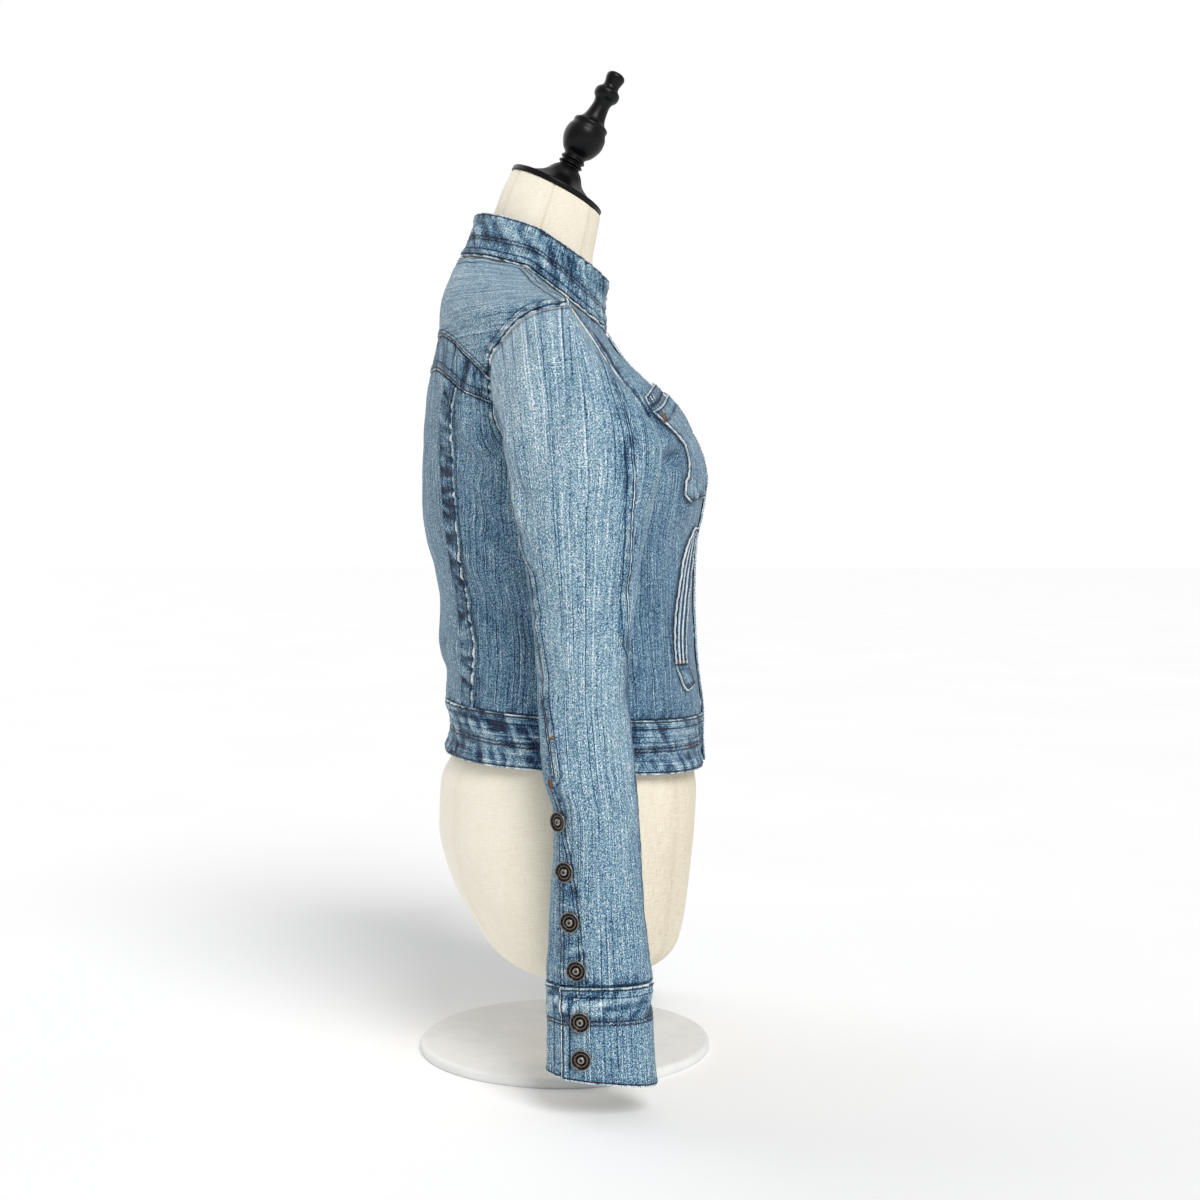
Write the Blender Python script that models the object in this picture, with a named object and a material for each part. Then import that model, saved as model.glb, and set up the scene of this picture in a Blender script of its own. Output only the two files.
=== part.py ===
"""Fitted denim jacket with a band collar, worn by a limbless dress form.

The jacket faces -Y, +Z is up, and the wearer's right sleeve is at -X. The origin is the centre of
the underside of the stand's base. Lengths in the tables are millimetres. Angles on the body and
the collar run from 0 at the centre front, through 90 at the wearer's right side, to 180 at the
centre back. Angles on a sleeve run from 0 on its outer side to 90 at its back and -90 at its front.
Each cloth piece is a wall of its own, which follows one of three surfaces: body, collar or sleeve.
"""

import bpy
import numpy as np

MM = 0.001
WALL = 1.6  # thickness of the denim
SEAM = 0.55  # distance between two pieces that are sewn edge to edge
SEAM_DOWN = 0.08  # more distance under the seams that cross the back, in units of down
LAID = 0.9  # distance between a panel and a piece that lies on it
OVER = 1.3  # the same for a long piece that bends with the panel
CENTRE = 0.05  # degrees from the centre front to each front edge

# The body's rings, from the neck seam (down = 0) to the hem's lower edge (down = 105).
# down, side_x, side_y, side_z, front_y, front_z, back_y, back_z, power
BODY = [
    (0, 64, 31, 664, -36, 617, 91, 682, 2.0),
    (8, 104, 20, 649, -46.5, 599, 101, 661, 2.1),
    (16, 146, 7, 633, -61.5, 581, 106.5, 637, 2.3),
    (24, 184, -7, 616.5, -78.6, 566, 108.5, 612, 2.15),
    (31, 177, -4, 590, -96.4, 551, 113, 588, 2.15),
    (38, 166, -3, 563, -109.2, 529, 118, 562, 2.2),
    (45, 157, -2, 535, -116.8, 512, 121.5, 530, 2.2),
    (52, 151, 0, 508, -121.3, 490, 123.5, 498, 2.2),
    (60, 148, 2, 470, -117.8, 464, 122.5, 466, 2.2),
    (66, 144, 3, 440, -111.3, 436, 119, 440, 2.2),
    (72, 139, 2, 412, -110.8, 408, 111.5, 412, 2.2),
    (78, 137, 0, 383, -110.1, 380, 107, 383, 2.2),
    (84, 139, 0, 352, -112.1, 349, 108.5, 353, 2.2),
    (90, 144, 0, 322, -114.8, 318, 103, 325, 2.2),
    (95, 147, 0, 298, -117.8, 291, 102, 305, 2.2),
    (100, 148, 0, 278, -117.4, 270, 98, 281, 2.2),
    (105, 149, 0, 256, -119.6, 246, 102.7, 260, 2.2),
]

# The band collar's rings, from the neck seam (0) to its top edge (1).
COLLAR = [
    (0, 64, 31, 665.5, -36, 618.5, 91, 683.5, 2.0),
    (0.5, 61, 25.5, 683, -34.5, 641, 83, 701, 2.0),
    (1, 57.5, 20, 700, -37.5, 663.5, 76, 721, 2.0),
]
COLLAR_END = 2.5  # degrees from the centre front to each end of the collar

# The dress form's rings, from the top of its neck to its underside.
FORM = [
    (0, 42, 8, 739.6, -30.5, 719.3, 46, 759.1, 2.0),
    (1, 43.5, 14, 720, -27, 700, 55, 741, 2.0),
    (2, 45, 20, 702, -24, 682, 61, 724, 2.0),
    (3, 49, 26, 684, -24, 662, 68, 704, 2.0),
    (4, 54, 30, 668, -26, 638, 77, 688, 2.0),
    (5, 60, 31, 657, -28.5, 612, 84, 673, 2.0),
    (6, 100, 21, 642, -38, 588, 94, 654, 2.1),
    (7, 142, 8, 626, -55, 575, 99, 630, 2.3),
    (8, 176, -4, 606, -74, 560, 101, 605, 2.15),
    (9, 168, -4, 585, -91, 546, 105, 583, 2.15),
    (10, 156, -3, 558, -102, 524, 110, 557, 2.2),
    (11, 147, -2, 530, -109, 508, 113.5, 526, 2.2),
    (12, 141, 0, 503, -113.5, 486, 115.5, 494, 2.2),
    (13, 138, 2, 466, -110, 460, 114.5, 462, 2.2),
    (14, 134, 3, 438, -103.5, 434, 111, 438, 2.2),
    (15, 129, 2, 411, -102.5, 407, 103.5, 411, 2.2),
    (16, 127, 0, 383, -102, 380, 99, 383, 2.2),
    (17, 129, 0, 352, -104, 349, 99.5, 353, 2.2),
    (18, 134, 0, 322, -106.5, 318, 94.5, 325, 2.2),
    (19, 138, 0, 298, -109, 291, 93, 305, 2.2),
    (20, 139, 0, 278, -109, 270, 89.5, 281, 2.2),
    (21, 142, 0, 256, -111, 246, 94.5, 260, 2.2),
    (22, 147, 0, 230, -113.5, 226, 106.5, 233, 2.2),
    (23, 149, 0, 195, -112, 195, 108, 195, 2.2),
    (24, 148, 0, 155, -108, 155, 98, 155, 2.2),
    (25, 143, 0, 126, -104.5, 126, 83, 127, 2.2),
    (26, 132, 0, 100, -98.5, 98, 64, 98, 2.2),
    (27, 112, -5, 85, -87, 84, 45, 84, 2.2),
    (28, 70, -6, 78, -55, 78, 30, 77, 2.0),
    (29, 18, 0, 76, -18, 76, 18, 76, 2.0),
]

# The armhole's two edges on the body: angle at each level. 24 is the shoulder's tip, 52 the underarm.
ARMHOLE = [  # down, front, back
    (24, 90, 90),
    (24.69, 78, 98.7),
    (26.67, 66.5, 106.5),
    (29.77, 61.8, 112.2),
    (33.67, 62.5, 117.2),
    (38, 62.5, 116.5),
    (42.33, 60.8, 114.8),
    (46.23, 61.6, 112.5),
    (49.33, 66.8, 107.4),
    (51.31, 78, 100.2),
    (52, 91, 91),
]

# Seams that cross the back, and the seam down each side of the centre back.
YOKE_SEAM = [(116.5, 38), (131, 32.3), (142, 28.6), (158, 25.5), (180, 24.5)]  # degrees, down
BAND_SEAM = [(114.8, 42.33), (130.8, 39.2), (141.5, 36.2), (156, 33.6), (180, 33)]  # degrees, down
BACK_SEAM = [  # down, degrees
    (36, 131.7),
    (44, 134.3),
    (52, 132.1),
    (60, 131),
    (66, 130.7),
    (72, 133.1),
    (78, 132.1),
    (84, 127.1),
    (90, 130.7),
    (95, 132.2),
]
STRIP_DEGREES = 9  # width of the raised strip beside each back seam
HEM_SEAM = 95
HEM = 105

# Pieces that lie on the front.
# Each row is a line across the piece, from its outer edge to its inner one.
CHEST_POCKET = [  # outer_down, outer_degrees, inner_down, inner_degrees
    (38.3, 49.8, 27.2, 14.5),
    (40.8, 43.2, 32, 14),
    (43.7, 36.2, 37.8, 13.5),
    (47.1, 33.2, 43.6, 13.5),
    (51.3, 34, 49.2, 13),
    (54.9, 37, 52.8, 12.5),
    (57, 36.7, 54.8, 12),
    (58.3, 33.6, 56, 12),
    (58.9, 29, 56.7, 12),
]
POCKET_BAND = [(35.4, 51.5, 23.2, 14.5), (37.7, 50.4, 26.4, 14.5)]
WELT = [
    (63.2, 18.4, 63.2, 10.5),
    (66, 24.5, 66, 12.2),
    (69, 29.3, 69, 15.2),
    (73, 32.8, 73, 19),
    (77, 34.9, 77, 22.2),
    (81, 37.4, 81, 24.8),
    (84, 38.5, 84, 26.6),
    (86.6, 38.4, 86.6, 27.6),
]
WELT_TAB = [(86.8, 38.3, 86.8, 26.6), (88.6, 36, 88, 24.2), (90.4, 33.2, 89.6, 22), (91, 30, 90.2, 21.4)]
PLACKET_HALF = 15.5

# The sleeve's rings below the armhole: level is the distance below the underarm line.
UNDERARM_Z = 505
SLEEVE = [  # level, mid_y, half_y, mid_x, half_x
    (0, -17.2, 60.5, 184.5, 32),
    (21, -18.5, 57.7, 184.5, 32),
    (53, -16.8, 50.3, 184, 31),
    (68, -17, 47.9, 183.5, 30),
    (105, -17, 41.8, 181, 29),
    (142, -17.2, 37.5, 179.5, 28),
    (185, -17.2, 34.4, 179.5, 27),
    (221, -19.5, 35.2, 180.5, 26),
    (246, -21.7, 35.2, 181.5, 26),
    (276, -27, 32.2, 182, 25.5),
    (301, -27.8, 32.9, 182, 25),
    (335, -27.8, 35.2, 182.5, 25),
    (370, -28.6, 37.5, 183, 24.5),
    (403, -29.3, 40, 183, 24),
    (437, -30.6, 40.7, 183, 23.5),
    (477, -32, 42.2, 183, 23),
]
SLEEVE_POWER = 2.2
CAP = 100  # levels above the underarm line that make up the sleeve's head
CAP_PULL = 1.05  # how far the head's cloth keeps its first direction
CAP_OUTWARD = 0.75  # how much of that direction is straight out
SLEEVE_LEVELS = (
    -100, -76, -52, -26, 0, 22, 48, 74, 100, 126, 154, 185, 216, 246, 276, 306, 338, 370, 402.5
)
SLEEVE_SEAMS = [  # level, front, back
    (-100, -36, 108),
    (0, -38, 104),
    (53, -48, 94),
    (68, -51, 90),
    (105, -58, 71),
    (142, -66, 67),
    (155, -84, 65),
    (185, -97, 61),
    (215, -100, 53),
    (243, -100, 48),
    (276, -100, 50),
    (315, -100, 46),
    (355, -100, 42),
    (403, -100, 40),
]
VENT = [(247, 56, 42), (276, 57, 40), (315, 52, 25), (355, 48, 15), (402, 45, 8)]  # level, edge, inner
CUFF_LEVELS = (403.6, 415, 437, 458, 477)
CUFF_DROP = 5  # how much lower the cuff's edge is at its front than at its back
CUFF_START, CUFF_END = 43, -342  # degrees of its outer and its hidden end
CUFF_LAP = 30  # degrees over which the outer end lies above the hidden one

# Metal buttons on the wrist: level and angle of each centre.
SLEEVE_BUTTONS = [(279.5, 49), (317, 38), (354, 29), (390, 21)]
CUFF_BUTTONS = [(429, 18), (458, 18)]
BUTTON = [  # radius, height
    (0, 0),
    (7.0, 0),
    (8.2, 1.2),
    (8.0, 2.4),
    (6.6, 2.6),
    (5.6, 1.9),
    (3.2, 2.0),
    (1.6, 3.0),
    (0, 3.2),
]
BUTTON_SIDES = 12

# Largest folds: each runs from one point of its surface to another. Height < 0 is a trough.
BODY_STEP = (4.4, 2.3)  # millimetres in one unit of down and in one degree
BODY_FOLDS = [  # down, degrees, down, degrees, half_width, height
    (41, 127.5, 48, 112.5, 7, -2.6),
    (50, 130, 57, 111, 8, -3.2),
    (45.5, 129.5, 53, 111, 8, 1.8),
    (58.5, 128, 68, 106, 8, -3.0),
    (54, 129, 62, 109, 8, 1.6),
    (75, 131, 79, 105, 9, -3.4),
    (70, 129.5, 74, 105, 8, 1.8),
    (86, 126, 90, 102, 8, -2.4),
    (52, 52, 48.2, 38, 6, -3.4),
    (48.4, 52, 45, 40, 7, 2.0),
    (61, 60, 70, 83, 9, -2.4),
    (79, 53, 76, 80.5, 9, -2.6),
    (88, 46, 92, 83, 9, 1.8),
    (47, 172, 60, 162, 10, -2.2),
    (88, 153, 91, 177, 9, -3.0),
]
SLEEVE_STEP = (1.0, 0.72)
SLEEVE_FOLDS = [  # level, degrees, level, degrees, half_width, height
    (-40, 20, 60, 62, 12, -3.0),
    (-52, -28, 40, -66, 12, -2.6),
    (8, 96, 52, 44, 10, -2.6),
    (84, 86, 112, 22, 9, -2.8),
    (118, 78, 132, 8, 9, -2.4),
    (96, -76, 124, -22, 9, -2.2),
    (166, 62, 184, 0, 8, -2.0),
    (214, -76, 236, -18, 8, -2.0),
    (296, -80, 318, -24, 8, -1.8),
    (20, 176, 60, 140, 12, -2.6),
    (110, 150, 134, 206, 10, -2.6),
    (230, 140, 250, 200, 9, -2.0),
]

# Turned parts: radius and height along the axis.
CAP_AXIS_BASE = (0, 8.2, 740.4)
CAP_LEAN = 27.5  # degrees forward of upright
NECK_CAP = [
    (0, 0), (43, 0), (43, 3.4), (36, 5.6), (26, 9.6), (18, 15), (13.5, 21.5), (11, 24), (9, 26),
    (11, 28.2), (9, 30.4), (11, 32.6), (9.6, 35), (14, 41), (18.2, 52), (17.6, 59), (15.5, 64.5),
    (15.8, 66.5), (11, 71), (8.2, 80), (8.2, 90), (10.9, 94), (10.9, 99), (7.4, 103),
    (7.4, 115.5), (5, 117), (0, 117),
]
POLE = [(0, 8.4), (12, 8.4), (12, 75.6), (0, 75.6)]
BASE = [(0, 0), (125, 0), (125, 6), (122, 8), (0, 8)]

COLOURS = {  # slot: red, green, blue, metallic, roughness
    "denim": (0.23, 0.34, 0.46, 0, 0.9),
    "button_metal": (0.16, 0.15, 0.14, 1, 0.4),
    "linen": (0.76, 0.68, 0.55, 0, 0.95),
    "dark_wood": (0.02, 0.017, 0.016, 0, 0.35),
    "white_paint": (0.85, 0.85, 0.84, 0, 0.5),
}


class Table:
    """A table whose first column is the place, read between its rows with smooth slopes."""

    def __init__(self, rows):
        rows = np.array(rows, float)
        self.at, self.values = rows[:, 0], rows[:, 1:]
        slope = np.diff(self.values, axis=0) / np.diff(self.at)[:, None]
        same = slope[:-1] * slope[1:] > 0
        total = np.where(same, slope[:-1] + slope[1:], 1)
        inner = np.where(same, 2 * slope[:-1] * slope[1:] / total, 0)
        self.slope = np.vstack([slope[:1], inner, slope[-1:]])

    def __call__(self, place):
        place = np.asarray(place, float)
        last = len(self.at) - 2
        i = np.clip(np.searchsorted(self.at, place, side="right") - 1, 0, last)
        step = self.at[i + 1] - self.at[i]
        s = np.clip((place - self.at[i]) / step, 0, 1)[..., None]
        step = step[..., None]
        found = (2 * s**3 - 3 * s**2 + 1) * self.values[i]
        found = found + (s**3 - 2 * s**2 + s) * step * self.slope[i]
        found = found + (3 * s**2 - 2 * s**3) * self.values[i + 1]
        found = found + (s**3 - s**2) * step * self.slope[i + 1]
        return np.moveaxis(found, -1, 0)


class Rings(Table):
    """A table of rings, which also gives its front edge's y at a height."""

    def __init__(self, rows):
        super().__init__(rows)
        self.front = Table(sorted((row[5], row[4]) for row in rows))

    def front_at(self, z):
        lowest, highest = self.front.at[[0, -1]]
        return self.front(np.clip(z, lowest, highest))[0]


BODY_TABLE = Rings(BODY)
COLLAR_TABLE = Rings(COLLAR)
FORM_TABLE = Rings(FORM)
ARMHOLE_TABLE = Table(ARMHOLE)
YOKE_SEAM_TABLE = Table(YOKE_SEAM)
BAND_SEAM_TABLE = Table(BAND_SEAM)
BACK_SEAM_TABLE = Table(BACK_SEAM)
SLEEVE_TABLE = Table(SLEEVE)
SLEEVE_SEAM_TABLE = Table(SLEEVE_SEAMS)
VENT_TABLE = Table(VENT)


def ring_point(table, place, degrees):
    """The point of a ringed surface at a place along it and an angle around it.

    In front, the surface is as deep at each height as the table's front edge is there.
    """
    side_x, side_y, side_z, front_y, front_z, back_y, back_z, power = table(place)
    angle = np.radians(degrees)
    across, along = np.sin(angle), np.cos(angle)
    is_front = along > 0
    z = side_z + (np.where(is_front, front_z, back_z) - side_z) * np.abs(along)
    depth = np.where(is_front, side_y - table.front_at(z), back_y - side_y)
    x = -side_x * np.sign(across) * np.abs(across) ** (2 / power)
    y = side_y - np.sign(along) * np.abs(along) ** (2 / power) * depth
    return np.stack([x, y, z], axis=-1)


def fold_height(folds, step, place, degrees):
    """How far the folds of a table lift the cloth at a place and an angle."""
    lift = np.zeros(np.broadcast(place, degrees).shape)
    for place_a, degrees_a, place_b, degrees_b, half_width, height in folds:
        run = np.array([(place_b - place_a) * step[0], (degrees_b - degrees_a) * step[1]])
        dx = (place - place_a) * step[0]
        dy = (degrees - degrees_a) * step[1]
        share = (dx * run[0] + dy * run[1]) / (run @ run)
        inside = np.clip(share, 0, 1)
        apart = np.hypot(dx - inside * run[0], dy - inside * run[1]) / half_width
        taper = np.sin(np.pi * np.clip(0.15 + 0.7 * share, 0, 1))
        lift = lift + height * taper * np.exp(-apart * apart)
    return lift


def unit(vectors):
    return vectors / np.linalg.norm(vectors, axis=-1, keepdims=True)


def moved_out(point_of, place, degrees, place_step, degree_step, outward, lift):
    """Points of a surface moved along its normal by lift. outward tells which way that is."""
    along = point_of(place + place_step, degrees) - point_of(place - place_step, degrees)
    around = point_of(place, degrees + degree_step) - point_of(place, degrees - degree_step)
    normal = unit(np.cross(along, around))
    points = point_of(place, degrees)
    facing = np.sum(normal * outward(points), axis=-1, keepdims=True)
    normal = np.where(facing < 0, -normal, normal)
    return points + normal * np.asarray(lift)[..., None]


def from_axis(points):
    """Directions away from the middle of the body, a little upwards at the shoulders."""
    ways = points - np.array([0, 12, 0])
    ways[..., 2] = np.clip(points[..., 2] - 560, 0, 60)
    return ways


def body(down, degrees, lift=0.0):
    """The jacket's body: its outer face is at lift 0. Angles over 180 are the wearer's left."""
    down, degrees = np.broadcast_arrays(np.asarray(down, float), np.asarray(degrees, float))
    folded = np.where(degrees > 180, 360 - degrees, degrees)
    folded = np.abs(folded)
    lift = lift + fold_height(BODY_FOLDS, BODY_STEP, down, folded)

    def point_of(place, angle):
        return ring_point(BODY_TABLE, np.clip(place, 0, HEM), angle)

    return moved_out(point_of, down, degrees, 0.6, 1.5, from_axis, lift)


def collar(place, degrees, lift=0.0):
    def point_of(at, angle):
        return ring_point(COLLAR_TABLE, np.clip(at, 0, 1), angle)

    place, degrees = np.broadcast_arrays(np.asarray(place, float), np.asarray(degrees, float))
    return moved_out(point_of, place, degrees, 0.1, 1.5, from_axis, lift)


def armhole_point(degrees):
    """The armhole's edge on the body at an angle of the sleeve."""
    turn = (np.asarray(degrees, float) + 180) % 360 - 180
    down = 38 - 14 * np.cos(np.radians(np.abs(turn)))
    front, back = ARMHOLE_TABLE(down)
    return body(down, np.where(turn < 0, front, back))


def sleeve_ring(level, degrees):
    mid_y, half_y, mid_x, half_x = SLEEVE_TABLE(level)
    angle = np.radians(degrees)
    out, back = np.cos(angle), np.sin(angle)
    x = -mid_x - half_x * np.sign(out) * np.abs(out) ** (2 / SLEEVE_POWER)
    y = mid_y + half_y * np.sign(back) * np.abs(back) ** (2 / SLEEVE_POWER)
    drop = CUFF_DROP * np.clip((level - 403) / 71, 0, 1) * back
    return np.stack([x, y, UNDERARM_Z - level + drop], axis=-1)


def sleeve_surface(level, degrees):
    """The wearer's right sleeve, without folds. Levels under 0 are its head."""
    lower = sleeve_ring(np.maximum(level, 0), degrees)
    start = armhole_point(degrees)
    end = sleeve_ring(np.zeros_like(lower[..., 0]), degrees)
    way = end - start
    reach = np.linalg.norm(way, axis=-1, keepdims=True)
    first = unit(unit(way) * (1 - CAP_OUTWARD) + np.array([-CAP_OUTWARD, 0, 0])) * reach * CAP_PULL
    last = np.array([0, 0, -1.0]) * reach * CAP_PULL
    s = np.clip(1 + np.minimum(level, 0) / CAP, 0, 1)[..., None]
    head = (2 * s**3 - 3 * s**2 + 1) * start + (s**3 - 2 * s**2 + s) * first
    head = head + (3 * s**2 - 2 * s**3) * end + (s**3 - s**2) * last
    return np.where((level < 0)[..., None], head, lower)


def sleeve(level, degrees, lift=0.0):
    """The wearer's right sleeve: its outer face is at lift 0."""
    level, degrees = np.broadcast_arrays(np.asarray(level, float), np.asarray(degrees, float))
    turn = (degrees + 180) % 360 - 180
    lift = lift + fold_height(SLEEVE_FOLDS, SLEEVE_STEP, level, turn)
    lift = lift + fold_height(SLEEVE_FOLDS, SLEEVE_STEP, level, turn + 360)
    fade = np.clip((level + CAP) / 30, 0, 1)

    def outward(points):
        return points - sleeve_middle(level)

    return moved_out(
        sleeve_surface, level, degrees, 1.5, 2.0, outward, np.where(fade < 1, lift * fade, lift)
    )


def sleeve_middle(level):
    """The middle of the hollow at a level, from which every wall faces away."""
    around = np.arange(0, 360, 36.0)
    return np.mean([sleeve_surface(level, np.full_like(level, a)) for a in around], axis=0)


def material(slot):
    red, green, blue, metallic, roughness = COLOURS[slot]
    made = bpy.data.materials.get(slot) or bpy.data.materials.new(slot)
    made.use_nodes = True
    shader = made.node_tree.nodes["Principled BSDF"]
    shader.inputs["Base Color"].default_value = (red, green, blue, 1)
    shader.inputs["Metallic"].default_value = metallic
    shader.inputs["Roughness"].default_value = roughness
    made.diffuse_color = (red, green, blue, 1)
    return made


def volume(points, faces):
    total = 0.0
    for face in faces:
        first = points[face[0]]
        for k in range(1, len(face) - 1):
            total += np.dot(first, np.cross(points[face[k]], points[face[k + 1]]))
    return total


def put(name, slot, points, faces):
    """Makes one object of a closed surface, with its faces turned outwards."""
    points = np.asarray(points, float)
    if volume(points, faces) < 0:
        faces = [tuple(reversed(face)) for face in faces]
    mesh = bpy.data.meshes.new(name)
    mesh.from_pydata([tuple(point * MM) for point in points], [], faces)
    mesh.materials.append(material(slot))
    mesh.update()
    bpy.context.scene.collection.objects.link(bpy.data.objects.new(name, mesh))


def put_pair(name, slot, points, faces):
    """The wearer's right piece and its mirror image on the left."""
    put(name + "_r", slot, points, faces)
    put(name + "_l", slot, np.asarray(points) * np.array([-1, 1, 1]), faces)


def inset(points, by, sides="tblr"):
    """A grid of points with its edges moved inwards, so that its neighbours stay clear."""
    points = points.copy()
    if "t" in sides:
        points[0] += unit(points[1] - points[0]) * by
    if "b" in sides:
        points[-1] += unit(points[-2] - points[-1]) * by
    if "l" in sides:
        points[:, 0] += unit(points[:, 1] - points[:, 0]) * by
    if "r" in sides:
        points[:, -1] += unit(points[:, -2] - points[:, -1]) * by
    return points


def angle_at(down, across):
    """The angle on the front of a point this far to the wearer's right of the centre."""
    side_x, power = BODY_TABLE(down)[[0, 7]]
    share = np.abs(across) / side_x
    return np.sign(across) * np.degrees(np.arcsin(share ** (power / 2)))


def wall(outer, inner, sides="tblr"):
    """Points and faces of a closed wall between two grids of points."""
    outer, inner = inset(outer, SEAM / 2, sides), inset(inner, SEAM / 2, sides)
    rows, columns = outer.shape[:2]
    index = np.arange(rows * columns).reshape(rows, columns)
    below = index + rows * columns
    faces = []
    shift = rows * columns
    for i in range(rows - 1):
        for j in range(columns - 1):
            a, b, c, d = index[i, j], index[i, j + 1], index[i + 1, j + 1], index[i + 1, j]
            one = np.linalg.norm(outer[i, j] - outer[i + 1, j + 1])
            other = np.linalg.norm(outer[i, j + 1] - outer[i + 1, j])
            for face in ((a, b, c), (a, c, d)) if one < other else ((a, b, d), (b, c, d)):
                faces.append(face)
                faces.append(tuple(v + shift for v in reversed(face)))
    rim = list(index[0, :]) + list(index[1:, -1]) + list(index[-1, -2::-1]) + list(index[-2:0:-1, 0])
    under = list(below[0, :]) + list(below[1:, -1])
    under += list(below[-1, -2::-1]) + list(below[-2:0:-1, 0])
    for k in range(len(rim)):
        after = (k + 1) % len(rim)
        faces.append((rim[after], rim[k], under[k], under[after]))
    points = np.concatenate([outer.reshape(-1, 3), inner.reshape(-1, 3)])
    return points, [tuple(int(v) for v in face) for face in faces]


def panel_grid(shares_down, shares_across, top, bottom, left, right):
    """Places and angles of a grid between four edges, each given as a function of the other."""
    v = np.asarray(shares_down, float)[:, None]
    u = np.asarray(shares_across, float)[None, :]
    down = np.zeros((v.shape[0], u.shape[1])) + 50
    degrees = np.zeros_like(down) + 100
    for _ in range(40):
        down = (1 - v) * top(degrees) + v * bottom(degrees)
        degrees = (1 - u) * left(down) + u * right(down)
    return down, degrees


def edge_of(table_rows, lower):
    """The levels of a column, as shares of the way from its first to its last."""
    levels = np.array(table_rows, float)
    return (levels - levels[0]) / (lower - levels[0])


def level_line(value):
    return lambda degrees: np.zeros_like(degrees) + value


def yoke_seam(degrees):
    return YOKE_SEAM_TABLE(np.minimum(degrees, 360 - degrees))[0]


def under_yoke(degrees):
    return yoke_seam(degrees) + SEAM_DOWN


def band_seam(degrees):
    return BAND_SEAM_TABLE(np.minimum(degrees, 360 - degrees))[0]


def under_band(degrees):
    return band_seam(degrees) + SEAM_DOWN


def back_seam(down):
    return BACK_SEAM_TABLE(down)[0]


def front_side(down):
    """The front's outer edge: shoulder seam, armhole, side seam."""
    return np.where(down < ARMHOLE[0][0], 90, ARMHOLE_TABLE(down)[0])


def back_side(down):
    return np.where(down < ARMHOLE[0][0], 90, ARMHOLE_TABLE(down)[1])


def centre_shares():
    """Columns of the centre back: a strip's width at each edge, and even ones between."""
    strip = STRIP_DEGREES / (360 - 2 * float(back_seam(np.array(70.0))))
    return np.concatenate([[0], np.linspace(strip, 1 - strip, 9), [1]])


def back_shares():
    """Columns of the yoke and the band, so that they meet those of the panels below them."""
    side, seam = BAND_SEAM[0][0], float(back_seam(np.array(39.5)))
    first = np.linspace(side, seam, SIDE_COLUMNS)
    middle = seam + (360 - 2 * seam) * centre_shares()
    degrees = np.concatenate([first, middle[1:-1], 360 - first[::-1]])
    return (degrees - side) / (360 - 2 * side)


SIDE_COLUMNS = 5
ARM_LEVELS = [row[0] for row in ARMHOLE]
SHOULDER_LEVELS = [0, 6, 12, 18]
LOWER_LEVELS = [57, 62, 67, 72, 77, 82, 87, 91, HEM_SEAM]


def build_body():
    levels = SHOULDER_LEVELS + ARM_LEVELS + LOWER_LEVELS
    front = panel_grid(
        edge_of(levels, HEM_SEAM), np.linspace(0, 1, 8), level_line(0), level_line(HEM_SEAM),
        level_line(CENTRE), front_side,
    )
    put_pair("front", "denim", *wall(body(*front), body(*front, -WALL)))

    across = back_shares()
    to_yoke = SHOULDER_LEVELS + ARM_LEVELS[:6]
    yoke = panel_grid(
        edge_of(to_yoke, ARM_LEVELS[5]), across, level_line(0), yoke_seam,
        back_side, lambda down: 360 - back_side(down),
    )
    put("back_yoke", "denim", *wall(body(*yoke), body(*yoke, -WALL)))

    band = panel_grid(
        [0, 0.5, 1], across, under_yoke, band_seam, back_side, lambda down: 360 - back_side(down)
    )
    put("back_band", "denim", *wall(body(*band), body(*band, -WALL)))

    shares = edge_of(ARM_LEVELS[6:] + LOWER_LEVELS, HEM_SEAM)
    across = np.linspace(0, 1, SIDE_COLUMNS)
    side = panel_grid(shares, across, under_band, level_line(HEM_SEAM), back_side, back_seam)
    put_pair("side_back", "denim", *wall(body(*side), body(*side, -WALL)))

    centre = panel_grid(
        shares, centre_shares(), under_band, level_line(HEM_SEAM),
        back_seam, lambda down: 360 - back_seam(down),
    )
    put("centre_back", "denim", *wall(body(*centre), body(*centre, -WALL)))

    strip = tuple(grid[:, :2] for grid in centre)
    over = wall(body(*strip, OVER + WALL), body(*strip, OVER))
    put_pair("back_strip", "denim", *over)

    hem_levels = np.array([HEM_SEAM, 97.5, 100, 102.5, HEM], float)[:, None]
    around = np.linspace(CENTRE, 360 - CENTRE, 49)[None, :]
    put("hem_band", "denim", *wall(body(hem_levels, around), body(hem_levels, around, -WALL)))

    down = np.linspace(1, HEM - 0.6, 25)[:, None]
    across = np.array([-1, -0.35, 0.35, 1])[None, :] * PLACKET_HALF
    grid = (down + 0 * across, angle_at(down, across))
    put("placket", "denim", *wall(body(*grid, OVER + WALL), body(*grid, OVER)))


def laid_on_front(name, rows, columns):
    """A pair of pieces that lie on the fronts, from their lines across."""
    outer_down, outer_degrees, inner_down, inner_degrees = np.array(rows, float).T[:, :, None]
    u = np.linspace(0, 1, columns)[None, :]
    down = outer_down * (1 - u) + inner_down * u
    degrees = outer_degrees * (1 - u) + inner_degrees * u
    made = wall(body(down, degrees, OVER + WALL), body(down, degrees, OVER))
    put_pair(name, "denim", *made)


def build_pockets():
    laid_on_front("chest_pocket", CHEST_POCKET, 8)
    laid_on_front("pocket_band", POCKET_BAND, 8)
    laid_on_front("welt_pocket", WELT, 4)
    laid_on_front("pocket_tab", WELT_TAB, 3)


def build_collar():
    front = np.linspace(CENTRE, 90, 8)
    front[0] = COLLAR_END
    back = 90 + 180 * back_shares()[1:-1]
    around = np.concatenate([front, back, 360 - front[::-1]])[None, :]
    place = np.linspace(0.02, 1, 4)[:, None]
    put("collar", "denim", *wall(collar(place, around), collar(place, around, -WALL)))


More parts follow.
